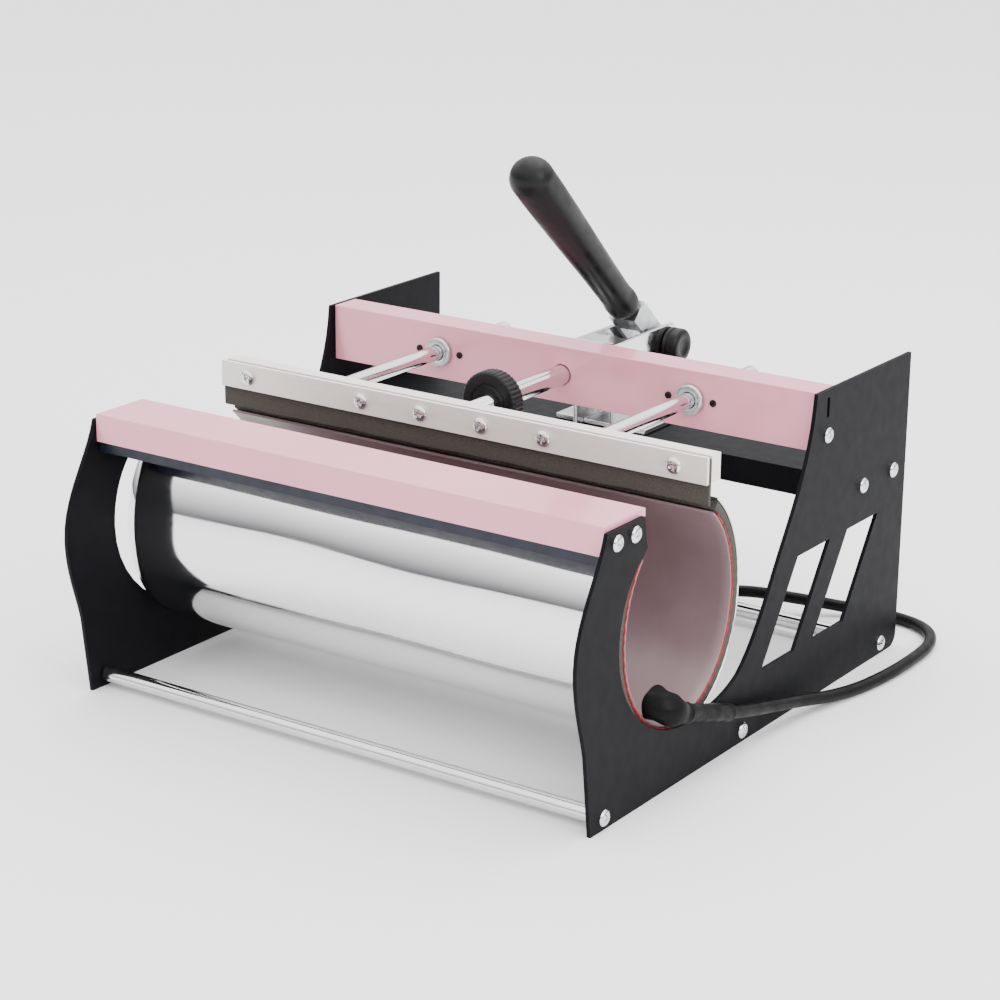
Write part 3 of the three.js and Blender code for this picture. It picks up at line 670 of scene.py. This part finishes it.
def band(oval, turns, d0, d1, wave=0.0, ragged=0.0, out=0.0, along=48):
    """One layer of the heater as a closed skin: a loop round the layer's section (outside from end
    to end, then back along the inside) carried round the oval. wave moves it square to itself by
    low sine waves, ragged and out move its two cut ends along x."""
    edge = min(0.0004, (d1 - d0) / 3)
    x = np.linspace(oval.x0, oval.x1, along)
    x = np.concatenate([[x[0]], [x[0] + edge], x[1:-1], [x[-1] - edge], [x[-1]]])
    depth = np.full(len(x), float(d0))
    depth[[0, -1]] += edge
    back = np.full(len(x), float(d1))
    back[[0, -1]] -= edge
    x, depth = np.concatenate([x, x[::-1]]), np.concatenate([depth, back[::-1]])
    u, xx = turns[:, None], np.broadcast_to(x, (len(turns), len(x)))
    sines = np.sin(21 * xx + 3 * u), 0.7 * np.sin(47 * xx - 5 * u + 1), 0.5 * np.sin(9 * u + 33 * xx)
    ripple = wave * (sines[0] + sines[1] + sines[2])
    near_end = 0.002
    end = (np.abs(xx) > abs(oval.x1) - near_end) * np.sign(xx)
    tear = 0.6 * np.sin(61 * u) + 0.4 * np.sin(143 * u + 2) + 0.3 * np.sin(29 * u + 1)
    xx = xx + end * (out + ragged * tear)
    return oval.at(xx, u, depth + ripple), False, True


class MUGPRESS_OT_heater(bpy.types.Operator):
    """The wrap-around heater: polished cover, foam, red silicone and liner, each one piece"""
    bl_idname = "mug_press.heater"
    bl_label = "Heater"
    bl_options = {"REGISTER", "UNDO"}

    def execute(self, context):
        s = context.scene.mug_press_heater
        oval = Oval(s)
        turns = np.linspace(s.front_end, s.rear_end, 160)
        inner = turns[1:-1]
        gap, foam, red = 0.0001, s.foam + 0.00002, s.silicone + 0.00002
        self.layer("heater_cover", band(oval, turns, 0, s.cover, s.wave), "sheet", "polished_sheet", oval,
                   ("heater_sheet_front", "heater_sheet_rear"))
        self.layer("heater_foam", band(oval, inner, s.cover + gap, s.foam, ragged=0.00012, out=-0.0003),
                   "foam", "foam", oval, ("heater_mat_front", "heater_mat_rear"))
        self.layer("heater_silicone", band(oval, turns[1:-3], foam, s.silicone, ragged=0.0003, out=0.0001),
                   "silicone", "silicone_red", oval)
        self.layer("heater_liner", band(oval, inner, red, s.liner, wave=0.00008, ragged=0.0001, out=-0.0002),
                   "liner", "liner", oval)
        return {"FINISHED"}

    def layer(self, name, shape, key, slot, oval, nodes=()):
        """A layer is built as one piece with its transform baked in, and the CAD nodes it replaces are
        hidden.
        """
        made = build(name, [shape], finish_of(key), None, 50)
        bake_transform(made)
        if nodes:
            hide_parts(*nodes)


# ---- Moving bar ---------------------------------------------------------------------------
class MUGPRESS_OT_bar(bpy.types.Operator):
    """Moving bar, its brushed clamp strip and the dark mat end held between them"""
    bl_idname = "mug_press.bar"
    bl_label = "Moving bar"
    bl_options = {"REGISTER", "UNDO"}

    def execute(self, context):
        dress("moving_bar", "strip", BAR_EDGE)
        dress("bar_clamp_strip", "strip", SHEET_EDGE)
        made = self.mat_end()
        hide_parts("mat_end_flap")
        return {"FINISHED"}

    def mat_end(self):
        """A flat slab with soft edges, its section a rounded rectangle |sin|^0.35, |cos|^0.35, whose
        lower edge wanders by two low sine waves."""
        lo, hi = BOX["mat_end_flap"]
        u = np.linspace(lo[0], hi[0], 120)
        t = np.linspace(0, 2 * np.pi, 40, endpoint=False)
        squared = lambda v: np.sign(v) * np.abs(v) ** 0.35
        half, mid = (hi - lo) / 2, (hi + lo) / 2
        room = 0.0003
        hem = 0.0002 * np.sin(70 * u) + 0.00015 * np.sin(190 * u + 1)
        y = mid[1] + half[1] * squared(np.cos(t))[None, :] + 0 * u[:, None]
        z = mid[2] + (half[2] - room) * squared(np.sin(t))[None, :] + hem[:, None] * (np.sin(t) < 0)[None, :]
        x = np.broadcast_to(u[:, None], y.shape)
        shape = np.stack([x, y, z], -1), False, True
        return build("mat_end", [shape], finish_of("foam"), "carriage", 60)


# ---- Spindle ------------------------------------------------------------------------------
class MUGPRESS_OT_spindle(bpy.types.Operator):
    """Threaded spindle, pressure knob and the plunger that the link pushes"""
    bl_idname = "mug_press.spindle"
    bl_label = "Spindle and knob"
    bl_options = {"REGISTER", "UNDO"}

    def execute(self, context):
        s = context.scene.mug_press_hardware
        self.thread(s)
        self.knob(s)
        remade("plunger", "chrome", "carriage", 0.0004)
        return {"FINISHED"}

    def thread(self, s):
        """A screw thread: r = R - depth * |2 frac(y / pitch - t / 2 pi) - 1|, faded at both ends."""
        lo, hi = BOX["spindle"]
        radius = (hi[0] - lo[0]) / 2
        rows_per_turn, run_out = 8, 0.0012
        rows = int((hi[1] - lo[1]) / s.thread_pitch * rows_per_turn)
        y = np.linspace(lo[1], hi[1], rows)
        t = np.linspace(0, 2 * np.pi, 32, endpoint=False)
        phase = np.mod(y[:, None] / s.thread_pitch - t[None, :] / (2 * np.pi), 1)
        r = radius - s.thread_depth * np.abs(2 * phase - 1)
        fade = smooth_step(np.minimum(y - lo[1], hi[1] - y) / run_out)[:, None]
        r = (radius - s.thread_depth) * (1 - fade) + r * fade
        x, _, z = middle("spindle")
        points = np.stack([x + r * np.sin(t), np.broadcast_to(y[:, None], r.shape), z + r * np.cos(t)], -1)
        made = build("spindle_thread", [(points, False, True)], finish_of("chrome"), "carriage", 60)
        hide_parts("spindle")

    def knob(self, s):
        """A flat round knob: rounded rim with fine ribs, a shallow ring groove in front and a boss."""
        lo, hi = BOX["pressure_knob"]
        x, _, z = middle("pressure_knob")
        R, y0, y1 = (hi[0] - lo[0]) / 2, lo[1], hi[1]
        bore, lip, rim_end = 0.0043, 0.0005, y0 + 0.010
        rounding, straight = 0.002, 0.0026
        ring_start, ring_end, ring_side, ring_deep = 0.0085, 0.0103, 0.0005, 0.0006
        boss, boss_foot = 0.0075, 0.0095
        rib_deep, rib_fade, rib_reach = 0.022, 0.0014, 0.0016
        arc = np.linspace(0, np.pi / 2, 7)
        inner = R - rounding
        first = [(inner + rounding * math.sin(a), y0 + rounding - rounding * math.cos(a)) for a in arc]
        second = [(inner + rounding * math.cos(a), rim_end - rounding + rounding * math.sin(a)) for a in arc]
        rim = [(R, y) for y in np.linspace(y0 + straight, rim_end - straight, 6)]
        profile = [(bore, y0 + lip), (bore + lip, y0), (ring_start, y0),
                   (ring_start + ring_side, y0 + ring_deep), (ring_end - ring_side, y0 + ring_deep),
                   (ring_end, y0), *first, *rim, *second, (boss_foot, rim_end),
                   (boss + ring_side, rim_end + 0.001), (boss, rim_end + 0.002), (boss, y1 - ring_deep),
                   (boss - ring_deep, y1), (bore, y1), (bore, y0 + lip)]
        r = np.array([p[0] for p in profile])
        near = smooth_step((r - (R - rib_reach)) / rib_fade)
        ribs = lambda t, k: 1 - rib_deep * near[k] * (0.5 - 0.5 * np.cos(s.ribs * t)) ** 2
        shape = turned(profile, (x, 0, z), "y", s.ribs * 8, ribs)
        made = build("pressure_knob_moulded", [shape], finish_of("plastic"), "knob", 50)
        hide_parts("pressure_knob")


# ---- Lever --------------------------------------------------------------------------------
class MUGPRESS_OT_lever(bpy.types.Operator):
    """Lever steel, moulded grip, link, bracket, pivot pins and the round cap over the right pin"""
    bl_idname = "mug_press.lever"
    bl_label = "Lever and toggle"
    bl_options = {"REGISTER", "UNDO"}

    def execute(self, context):
        remade("lever_arm", "zinc", "lever", 0.0006, 3)
        remade("toggle_link", "chrome", "link", 0.0005)
        remade("link_pin", "chrome", "link", 0.0003)
        remade("toggle_bracket", "chrome", "frame", 0.0006, 3)
        for side in ("left", "right"):
            remade(f"pivot_pin_{side}", "chrome", "frame", 0.0005)
        self.grip(context)
        self.cap()
        self.crank_heads(context)
        return {"FINISHED"}

    def line(self, context):
        """The pivot's middle, and the direction from it to the grip's tip."""
        _, y, z = middle("pivot_pin_left")
        turn = context.scene.mug_press_lever.open_turn
        return np.array([0.0, y, z]), np.array([0.0, math.cos(turn), math.sin(turn)])

    def grip(self, context):
        """A tapered handle about the lever's line: its radius grows in a long S, with a rolled lower
        lip and a domed tip. The section is 3% flatter across the lever and has two faint mould lines."""
        s = context.scene.mug_press_lever
        pivot, along = self.line(context)
        start, end, small, large = s.grip_start, s.grip_end, s.grip_small, s.grip_large
        neck, tip, roll, roll_at, roll_wide = 0.004, 0.0115, 0.0007, 0.006, 0.004
        mouth, mouth_deep, lip_start = 0.0062, 0.0015, 0.0066
        flatter, mould_line, line_wide = 0.03, 0.004, 0.03
        body = np.linspace(0, 1, 40)
        at = start + neck + body * (end - tip - start - neck)
        r = small + (large - small) * (0.25 * body + 0.75 * smooth_step(body))
        r = r + roll * np.exp(-(((at - start - roll_at) / roll_wide) ** 2))
        lip = [(mouth, start + mouth_deep), (lip_start, start), (small - 0.0008, start),
               (small, start + 0.0008)]
        arc = np.linspace(0.12, np.pi / 2, 12)
        dome = [(large * math.cos(a), end - tip + tip * math.sin(a)) for a in arc[:-1]]
        profile = [(0, start + mouth_deep), *lip, *zip(r, at), *dome, (0, end)]
        oval = lambda t, k: (1 - flatter * np.abs(np.sin(t)) ** 2
                             - mould_line * np.exp(-(np.sin(t) / line_wide) ** 2))
        axes = along, np.array([1.0, 0, 0]), np.cross([1.0, 0, 0], along)
        shape = turned(profile, pivot, axes, 96, oval)
        made = build("lever_grip_moulded", [shape], finish_of("plastic"), "lever", 50)
        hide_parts("lever_grip")

    def cap(self):
        """The cap over the right pivot pin: a domed drum with a waist groove and a dished end."""
        lo, hi = BOX["pivot_hub"]
        _, y, z = middle("pivot_hub")
        R, x0, x1 = (hi[2] - lo[2]) / 2, lo[0], hi[0]
        chamfer, waist, waist_deep, dish, dish_deep = 0.001, 0.0036, 0.0007, 0.0058, 0.0006
        round_r, round_h, slope = 0.003, 0.0022, 0.0005
        arc = np.linspace(0, np.pi / 2, 8)
        dome = [(R - round_r + round_r * math.cos(a), x1 - round_h + round_h * math.sin(a)) for a in arc]
        profile = [(0, x0), (R - chamfer, x0), (R, x0 + chamfer), (R, x0 + waist - 0.0011),
                   (R - waist_deep, x0 + waist - 0.0006), (R - waist_deep, x0 + waist),
                   (R, x0 + waist + slope), *dome, (R - dish + 0.0008, x1), (R - dish, x1 - dish_deep),
                   (0, x1 - dish_deep)]
        shape = turned(profile, (0, y, z), "x", 64)
        made = build("pivot_cap", [shape], finish_of("plastic"), "frame", 50)
        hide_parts("pivot_hub")

    def crank_heads(self, context):
        """Mushroom heads on the outer faces of the lever's crank eye."""
        arm = BOX["lever_arm"]
        pivot, along = self.line(context)
        crank, radius, height, seat = 0.022, 0.0042, 0.0015, 0.0002
        centre = pivot - crank * along
        arc = np.linspace(0, np.pi / 2, 6)[:-1]
        shapes = []
        for face, sign in ((arm[1][0], 1), (arm[0][0], -1)):
            dome = [(radius * math.cos(a), sign * (seat + (height - seat) * math.sin(a))) for a in arc]
            profile = [(0, 0), (radius, 0), *dome, (0, sign * height)]
            shapes.append(turned(profile, (face, centre[1], centre[2]), "x", 32))
        build("crank_heads", shapes, finish_of("chrome"), "lever")


# ---- Cable --------------------------------------------------------------------------------
BOOT_POINTS = [(143.5, 57.5, 45.2), (149, 58, 44.4), (153, 63, 41), (154.7, 70, 38), (155, 73, 37)]
SLEEVE_POINTS = [(155, 71.1, 37.6), (155.1, 92, 30.8), (155.1, 113, 24)]
RUN_POINTS = [
    (155.1, 111, 24.6), (155.1, 113.5, 23.8), (155.3, 128, 19.8), (156.3, 152, 14.4), (158.6, 178, 9.2),
    (162.6, 201, 5), (167.4, 223, 3.4), (170.8, 247, 3.4), (171.6, 272, 3.4), (169.6, 297, 3.4),
    (162, 314, 3.4), (148, 323.4, 3.4), (128, 325, 3.8), (106, 318.6, 5.6), (86, 306, 9.4),
    (67, 291.4, 13.4), (50, 278, 14.2), (37, 267.6, 13.2), (23, 259.2, 11.6), (7.2, 253.5, 10.6),
    (-7, 251.2, 10.2),
]


def from_foot(points):
    """Millimetres from the side plates' front foot to metres in the frame."""
    return np.asarray(points, float) * MM + [0, FOOT_Y, 0]


def coil_turns(s):
    """The stored turns: one falls inwards on top, drops inside, and the rest grow outwards on the
    floor, a pitch a turn. Angles run anticlockwise from the rear."""
    centre = middle("cable_coil")
    turns, steps = 3, 40
    drop_start, drop_end, inward_end, tight = 1.04, 1.25, 1.12, 0.97
    high, floor = 0.0101, 0.0034
    t = np.arange(0, turns + 0.0001, 1 / steps)
    top = s.coil_start - s.pitch * tight * t
    low = s.coil_inner + s.pitch * (t - drop_end)
    start = s.coil_start - s.pitch * tight
    inward = start + (s.coil_inner - start) * smooth_step((t - 1) / (inward_end - 1))
    r = np.where(t < 1, top, np.where(t < drop_end, inward, low))
    z = high + (floor - high) * smooth_step((t - drop_start) / (drop_end - drop_start))
    angle = np.pi / 2 + 2 * np.pi * t
    return np.stack([centre[0] + r * np.cos(angle), centre[1] + r * np.sin(angle), z], -1)


class MUGPRESS_OT_cable(bpy.types.Operator):
    """Rubber boot, sleeve, the cable laid back along the plate and coiled, its tie and its plug"""
    bl_idname = "mug_press.cable"
    bl_label = "Cable"
    bl_options = {"REGISTER", "UNDO"}

    def execute(self, context):
        s = context.scene.mug_press_cable
        coil = coil_turns(s)
        body, centre = BOX["plug_body"], middle("plug_body")
        mouth = np.array([body[1][0], centre[1], centre[2]])
        tail = [coil[-1] + [-0.013, 0, 0.0009], coil[-1] + [-0.024, 0, 0.0037],
                mouth + [0.002, 0, -0.0004], mouth - [0.004, 0, 0]]
        knots = np.vstack([from_foot(RUN_POINTS), coil, tail])
        path, run = self.evened(catmull(knots, 6), step=0.0022)
        tube, uv = along_path(path, s.diameter / 2, 20)
        cable = build("cable_jacket", [tube], finish_of("jacket"), "frame", 60, [uv])
        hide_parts("cable_run", "cable_coil")
        others = [self.boot(), self.sleeve(), self.tie(), *self.plug()]
        return {"FINISHED"}

    def evened(self, path, step):
        """The path with its points a step apart, and its length."""
        far = np.concatenate([[0], np.cumsum(np.linalg.norm(np.diff(path, axis=0), axis=1))])
        even = np.linspace(0, far[-1], int(far[-1] / step))
        return np.stack([np.interp(even, far, path[:, k]) for k in range(3)], -1), far[-1]

    def boot(self):
        """A tapered rubber boot with soft swellings, carried along a short bent path: its start is
        rounded over, and low sine waves along and round it make it lumpy."""
        wide, narrower, swell, rounded = 0.0080, 0.0031, 0.0004, 0.10
        path = catmull(from_foot(BOOT_POINTS), 12)
        k = np.linspace(0, 1, len(path))
        t = np.linspace(0, 2 * np.pi, 40, endpoint=False)
        r = wide - narrower * smooth_step(k * 1.6 - 0.45) + swell * np.sin(2 * np.pi * 2.5 * k)
        r = r * np.sqrt(np.clip(1 - ((rounded - k).clip(0) / rounded) ** 2 * 0.6, 0, 1))
        tt, kk = t[None, :], k[:, None]
        lumps = 0.00035 * np.sin(3 * tt + 9 * kk) + 0.00025 * np.sin(5 * tt - 14 * kk)
        shape, _ = along_path(path, r[:, None] + lumps * (1 - kk), 40)
        made = build("cable_boot_rubber", [shape], finish_of("rubber"), "frame", 60)
        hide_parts("cable_boot")
        return made

    def sleeve(self):
        """The stiff sleeve over the cable's first stretch: a straight tube with rolled ends and a
        slight waist."""
        bore, wall, waist, rolled = 0.0034, 0.0011, 0.00012, 0.03
        path = catmull(from_foot(SLEEVE_POINTS), 30)
        k = np.linspace(0, 1, len(path))
        end = np.clip(np.minimum(k, 1 - k) / rolled, 0, 1)
        r = bore + wall * np.sqrt(1 - (1 - end) ** 2) - waist * np.sin(np.pi * k)
        shape, _ = along_path(path, r[:, None] * np.ones(32), 32)
        made = build("cable_sleeve_rubber", [shape], finish_of("rubber"), "frame", 60)
        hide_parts("cable_sleeve")
        return made

    def tie(self):
        """A narrow strap round the coil's turns: a rounded rectangle about their section, swept over
        a short arc of the coil's circle."""
        centre = middle("cable_coil")
        place, width, thick, corner = np.radians(200), 0.007, 0.0006, 0.45
        mean, half_across, mid_up, half_up, lowest = 0.0422, 0.0100, 0.0068, 0.0072, 0.00005
        t = np.linspace(0, 2 * np.pi, 48, endpoint=False)
        squared = lambda v: np.sign(v) * np.abs(v) ** corner
        r = mean + half_across * squared(np.cos(t))
        z = (mid_up + half_up * squared(np.sin(t))).clip(lowest)
        half = width / 2 / 0.041
        angle = place + np.linspace(-half, half, 6)[:, None]

        def ring(grow):
            wide = r + grow * np.cos(t)
            up = np.broadcast_to(z + grow * np.sin(t).clip(0), (6, 48))
            return np.stack([centre[0] + wide * np.cos(angle), centre[1] + wide * np.sin(angle), up], -1)

        skin = np.concatenate([ring(0.0), ring(-thick)[::-1]])
        return build("cable_tie", [(skin, True, True)], finish_of("rubber"), "frame", 60)

    def plug(self):
        """A round metal plug lying on the floor. Its shell is a stepped clamp nut and a grooved body,
        and its ring nut is knurled, with an open mouth."""
        body, ring = BOX["plug_body"], BOX["plug_ring"]
        _, y, z = middle("plug_body")
        mouth = (body[1][0], y, z)
        R, R2 = (body[1][2] - body[0][2]) / 2, (ring[1][2] - ring[0][2]) / 2
        axes = (np.array([-1.0, 0, 0]), np.array([0, 1.0, 0]), np.array([0, 0, 1.0]))
        groove, groove_pitch, row_pitch, knurls = 0.0005, 0.0011, 0.0012, 36
        nut = [(0, 0), (0.0044, 0), (0.0053, 0.0012), (0.0055, 0.0095), (R - 0.0008, 0.0118), (R, 0.0128)]
        grooves = [(R - groove * (i % 2), 0.0135 + groove_pitch * i) for i in range(8)]
        shell = nut + grooves + [(R, 0.0228), (R - 0.0008, 0.0238), (0, 0.0238)]
        shape = turned(shell, mouth, axes, 48)
        back = build("plug_shell", [shape], finish_of("chrome"), "frame", 35)
        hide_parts("plug_body")
        rows = [(R2, 0.0255 + row_pitch * i) for i in range(7)]
        front = [(0, 0.0244), (R2 - 0.0008, 0.0244), *rows, (R2 - 0.0006, 0.0338), (R2 - 0.0016, 0.0342),
                 (R2 - 0.0016, 0.0376), (R2 - 0.0024, 0.0378), (R2 - 0.0026, 0.0330), (0, 0.0330)]
        knurl = lambda t, k: 1 - 0.03 * ((k > 1) & (k < 9)) * (0.5 + 0.5 * np.cos(knurls * t))
        shape = turned(front, mouth, axes, knurls * 6, knurl)
        nose = build("plug_nut", [shape], finish_of("chrome"), "frame", 35)
        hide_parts("plug_ring")
        return back, nose


# ---- Stage --------------------------------------------------------------------------------
class MUGPRESS_OT_stage(bpy.types.Operator):
    """Pale floor, soft lamps, plain sky and the camera"""
    bl_idname = "mug_press.stage"
    bl_label = "Stage"
    bl_options = {"REGISTER", "UNDO"}

    def execute(self, context):
        scene = context.scene
        s = scene.mug_press_studio
        self.camera(scene, s)
        self.floor(scene, s)
        self.sky(scene, s)
        self.lamp(scene, "key", place=(0.1, 0.35, 1.6), aim=(0, 0, 0.05), size=1.6, power=s.key_power)
        self.lamp(scene, "side", place=(1.7, -0.35, 0.9), aim=(0, 0, 0.08), size=1.1, power=s.side_power)
        return {"FINISHED"}

    def camera(self, scene, s):
        """Stands at three-quarter right, looking down 18 degrees, with half a degree of roll."""
        data = bpy.data.cameras.new("camera")
        data.lens, data.sensor_width = s.lens, 36
        data.clip_start, data.clip_end = 0.05, 60
        cam = bpy.data.objects.new("camera", data)
        scene.collection.objects.link(cam)
        look = Vector((-0.53793, 0.78405, -0.30967))
        cam.location = (0.741, FOOT_Y - 0.935, 0.518)
        aimed = look.to_track_quat("-Z", "Y").to_matrix()
        cam.rotation_euler = (aimed @ Matrix.Rotation(math.radians(0.55), 3, "Z")).to_euler()
        scene.camera = cam

    def floor(self, scene, s):
        mesh = bpy.data.meshes.new("floor")
        reach = 12.0
        corners = [(-reach, -reach, 0), (reach, -reach, 0), (reach, reach, 0), (-reach, reach, 0)]
        mesh.from_pydata(corners, [], [(0, 1, 2, 3)])
        f = Finish("floor", s.floor, rough=0.7, metal=0.0, Specular_IOR_Level=0.2)
        f.tint(f.ramp(f.grain(3, detail=2), 0, 1), dark=0.995, light=1.0)
        mesh.materials.append(f.mat)
        floor = bpy.data.objects.new("floor", mesh)
        scene.collection.objects.link(floor)

    def sky(self, scene, s):
        """A plain soft sky: brightest overhead and greyer at the horizon."""
        world = bpy.data.worlds.new("studio")
        world.use_nodes = True
        tree = world.node_tree
        where = tree.nodes.new("ShaderNodeTexCoord")
        split = tree.nodes.new("ShaderNodeSeparateXYZ")
        ramp = tree.nodes.new("ShaderNodeValToRGB")
        level, overhead = ramp.color_ramp.elements
        level.position, level.color = 0.0, (*s.horizon, 1)
        overhead.position, overhead.color = 0.5, (1, 1, 1, 1)
        tree.links.new(where.outputs["Generated"], split.inputs["Vector"])
        tree.links.new(split.outputs["Z"], ramp.inputs["Fac"])
        tree.links.new(ramp.outputs["Color"], tree.nodes["Background"].inputs["Color"])
        tree.nodes["Background"].inputs["Strength"].default_value = s.sky_power
        scene.world = world

    def lamp(self, scene, name, place, aim, size, power):
        data = bpy.data.lights.new(name, "AREA")
        data.shape, data.size, data.energy = "DISK", size, power
        lamp = bpy.data.objects.new(name, data)
        scene.collection.objects.link(lamp)
        lamp.location = place
        lamp.rotation_euler = (Vector(aim) - Vector(place)).to_track_quat("-Z", "Y").to_euler()


# ---- Panel and registration ---------------------------------------------------------------
STEPS = (
    MUGPRESS_OT_stage, MUGPRESS_OT_cable, MUGPRESS_OT_frame, MUGPRESS_OT_rods, MUGPRESS_OT_screws,
    MUGPRESS_OT_heater, MUGPRESS_OT_bar, MUGPRESS_OT_spindle, MUGPRESS_OT_lever,
)


class MUGPRESS_PT_sidebar(bpy.types.Panel):
    """Lists the steps that make the press"""
    bl_idname = "MUGPRESS_PT_sidebar"
    bl_label = "Mug press"
    bl_space_type = "VIEW_3D"
    bl_region_type = "UI"
    bl_category = "Mug press"

    def draw(self, context):
        for step in STEPS:
            self.layout.operator(step.bl_idname)


GROUPS = {
    "mug_press_finish": FinishSettings,
    "mug_press_heater": HeaterSettings,
    "mug_press_hardware": HardwareSettings,
    "mug_press_lever": LeverSettings,
    "mug_press_cable": CableSettings,
    "mug_press_studio": StudioSettings,
}


def register():
    """Registers the settings, the steps and the panel, and puts the settings on the scene."""
    for group in GROUPS.values():
        bpy.utils.register_class(group)
    for step in (*STEPS, MUGPRESS_PT_sidebar):
        bpy.utils.register_class(step)
    for name, group in GROUPS.items():
        setattr(bpy.types.Scene, name, bpy.props.PointerProperty(type=group))


def unregister():
    """Takes away all that register added."""
    for name in GROUPS:
        delattr(bpy.types.Scene, name)
    for kind in (*reversed(STEPS), MUGPRESS_PT_sidebar, *reversed(list(GROUPS.values()))):
        bpy.utils.unregister_class(kind)


def main():
    """Registers the steps and runs each of them to make the whole press."""
    register()
    for step in STEPS:
        group, name = step.bl_idname.split(".")
        getattr(getattr(bpy.ops, group), name)()
    bpy.context.view_layer.update()


if __name__ == "__main__":
    main()
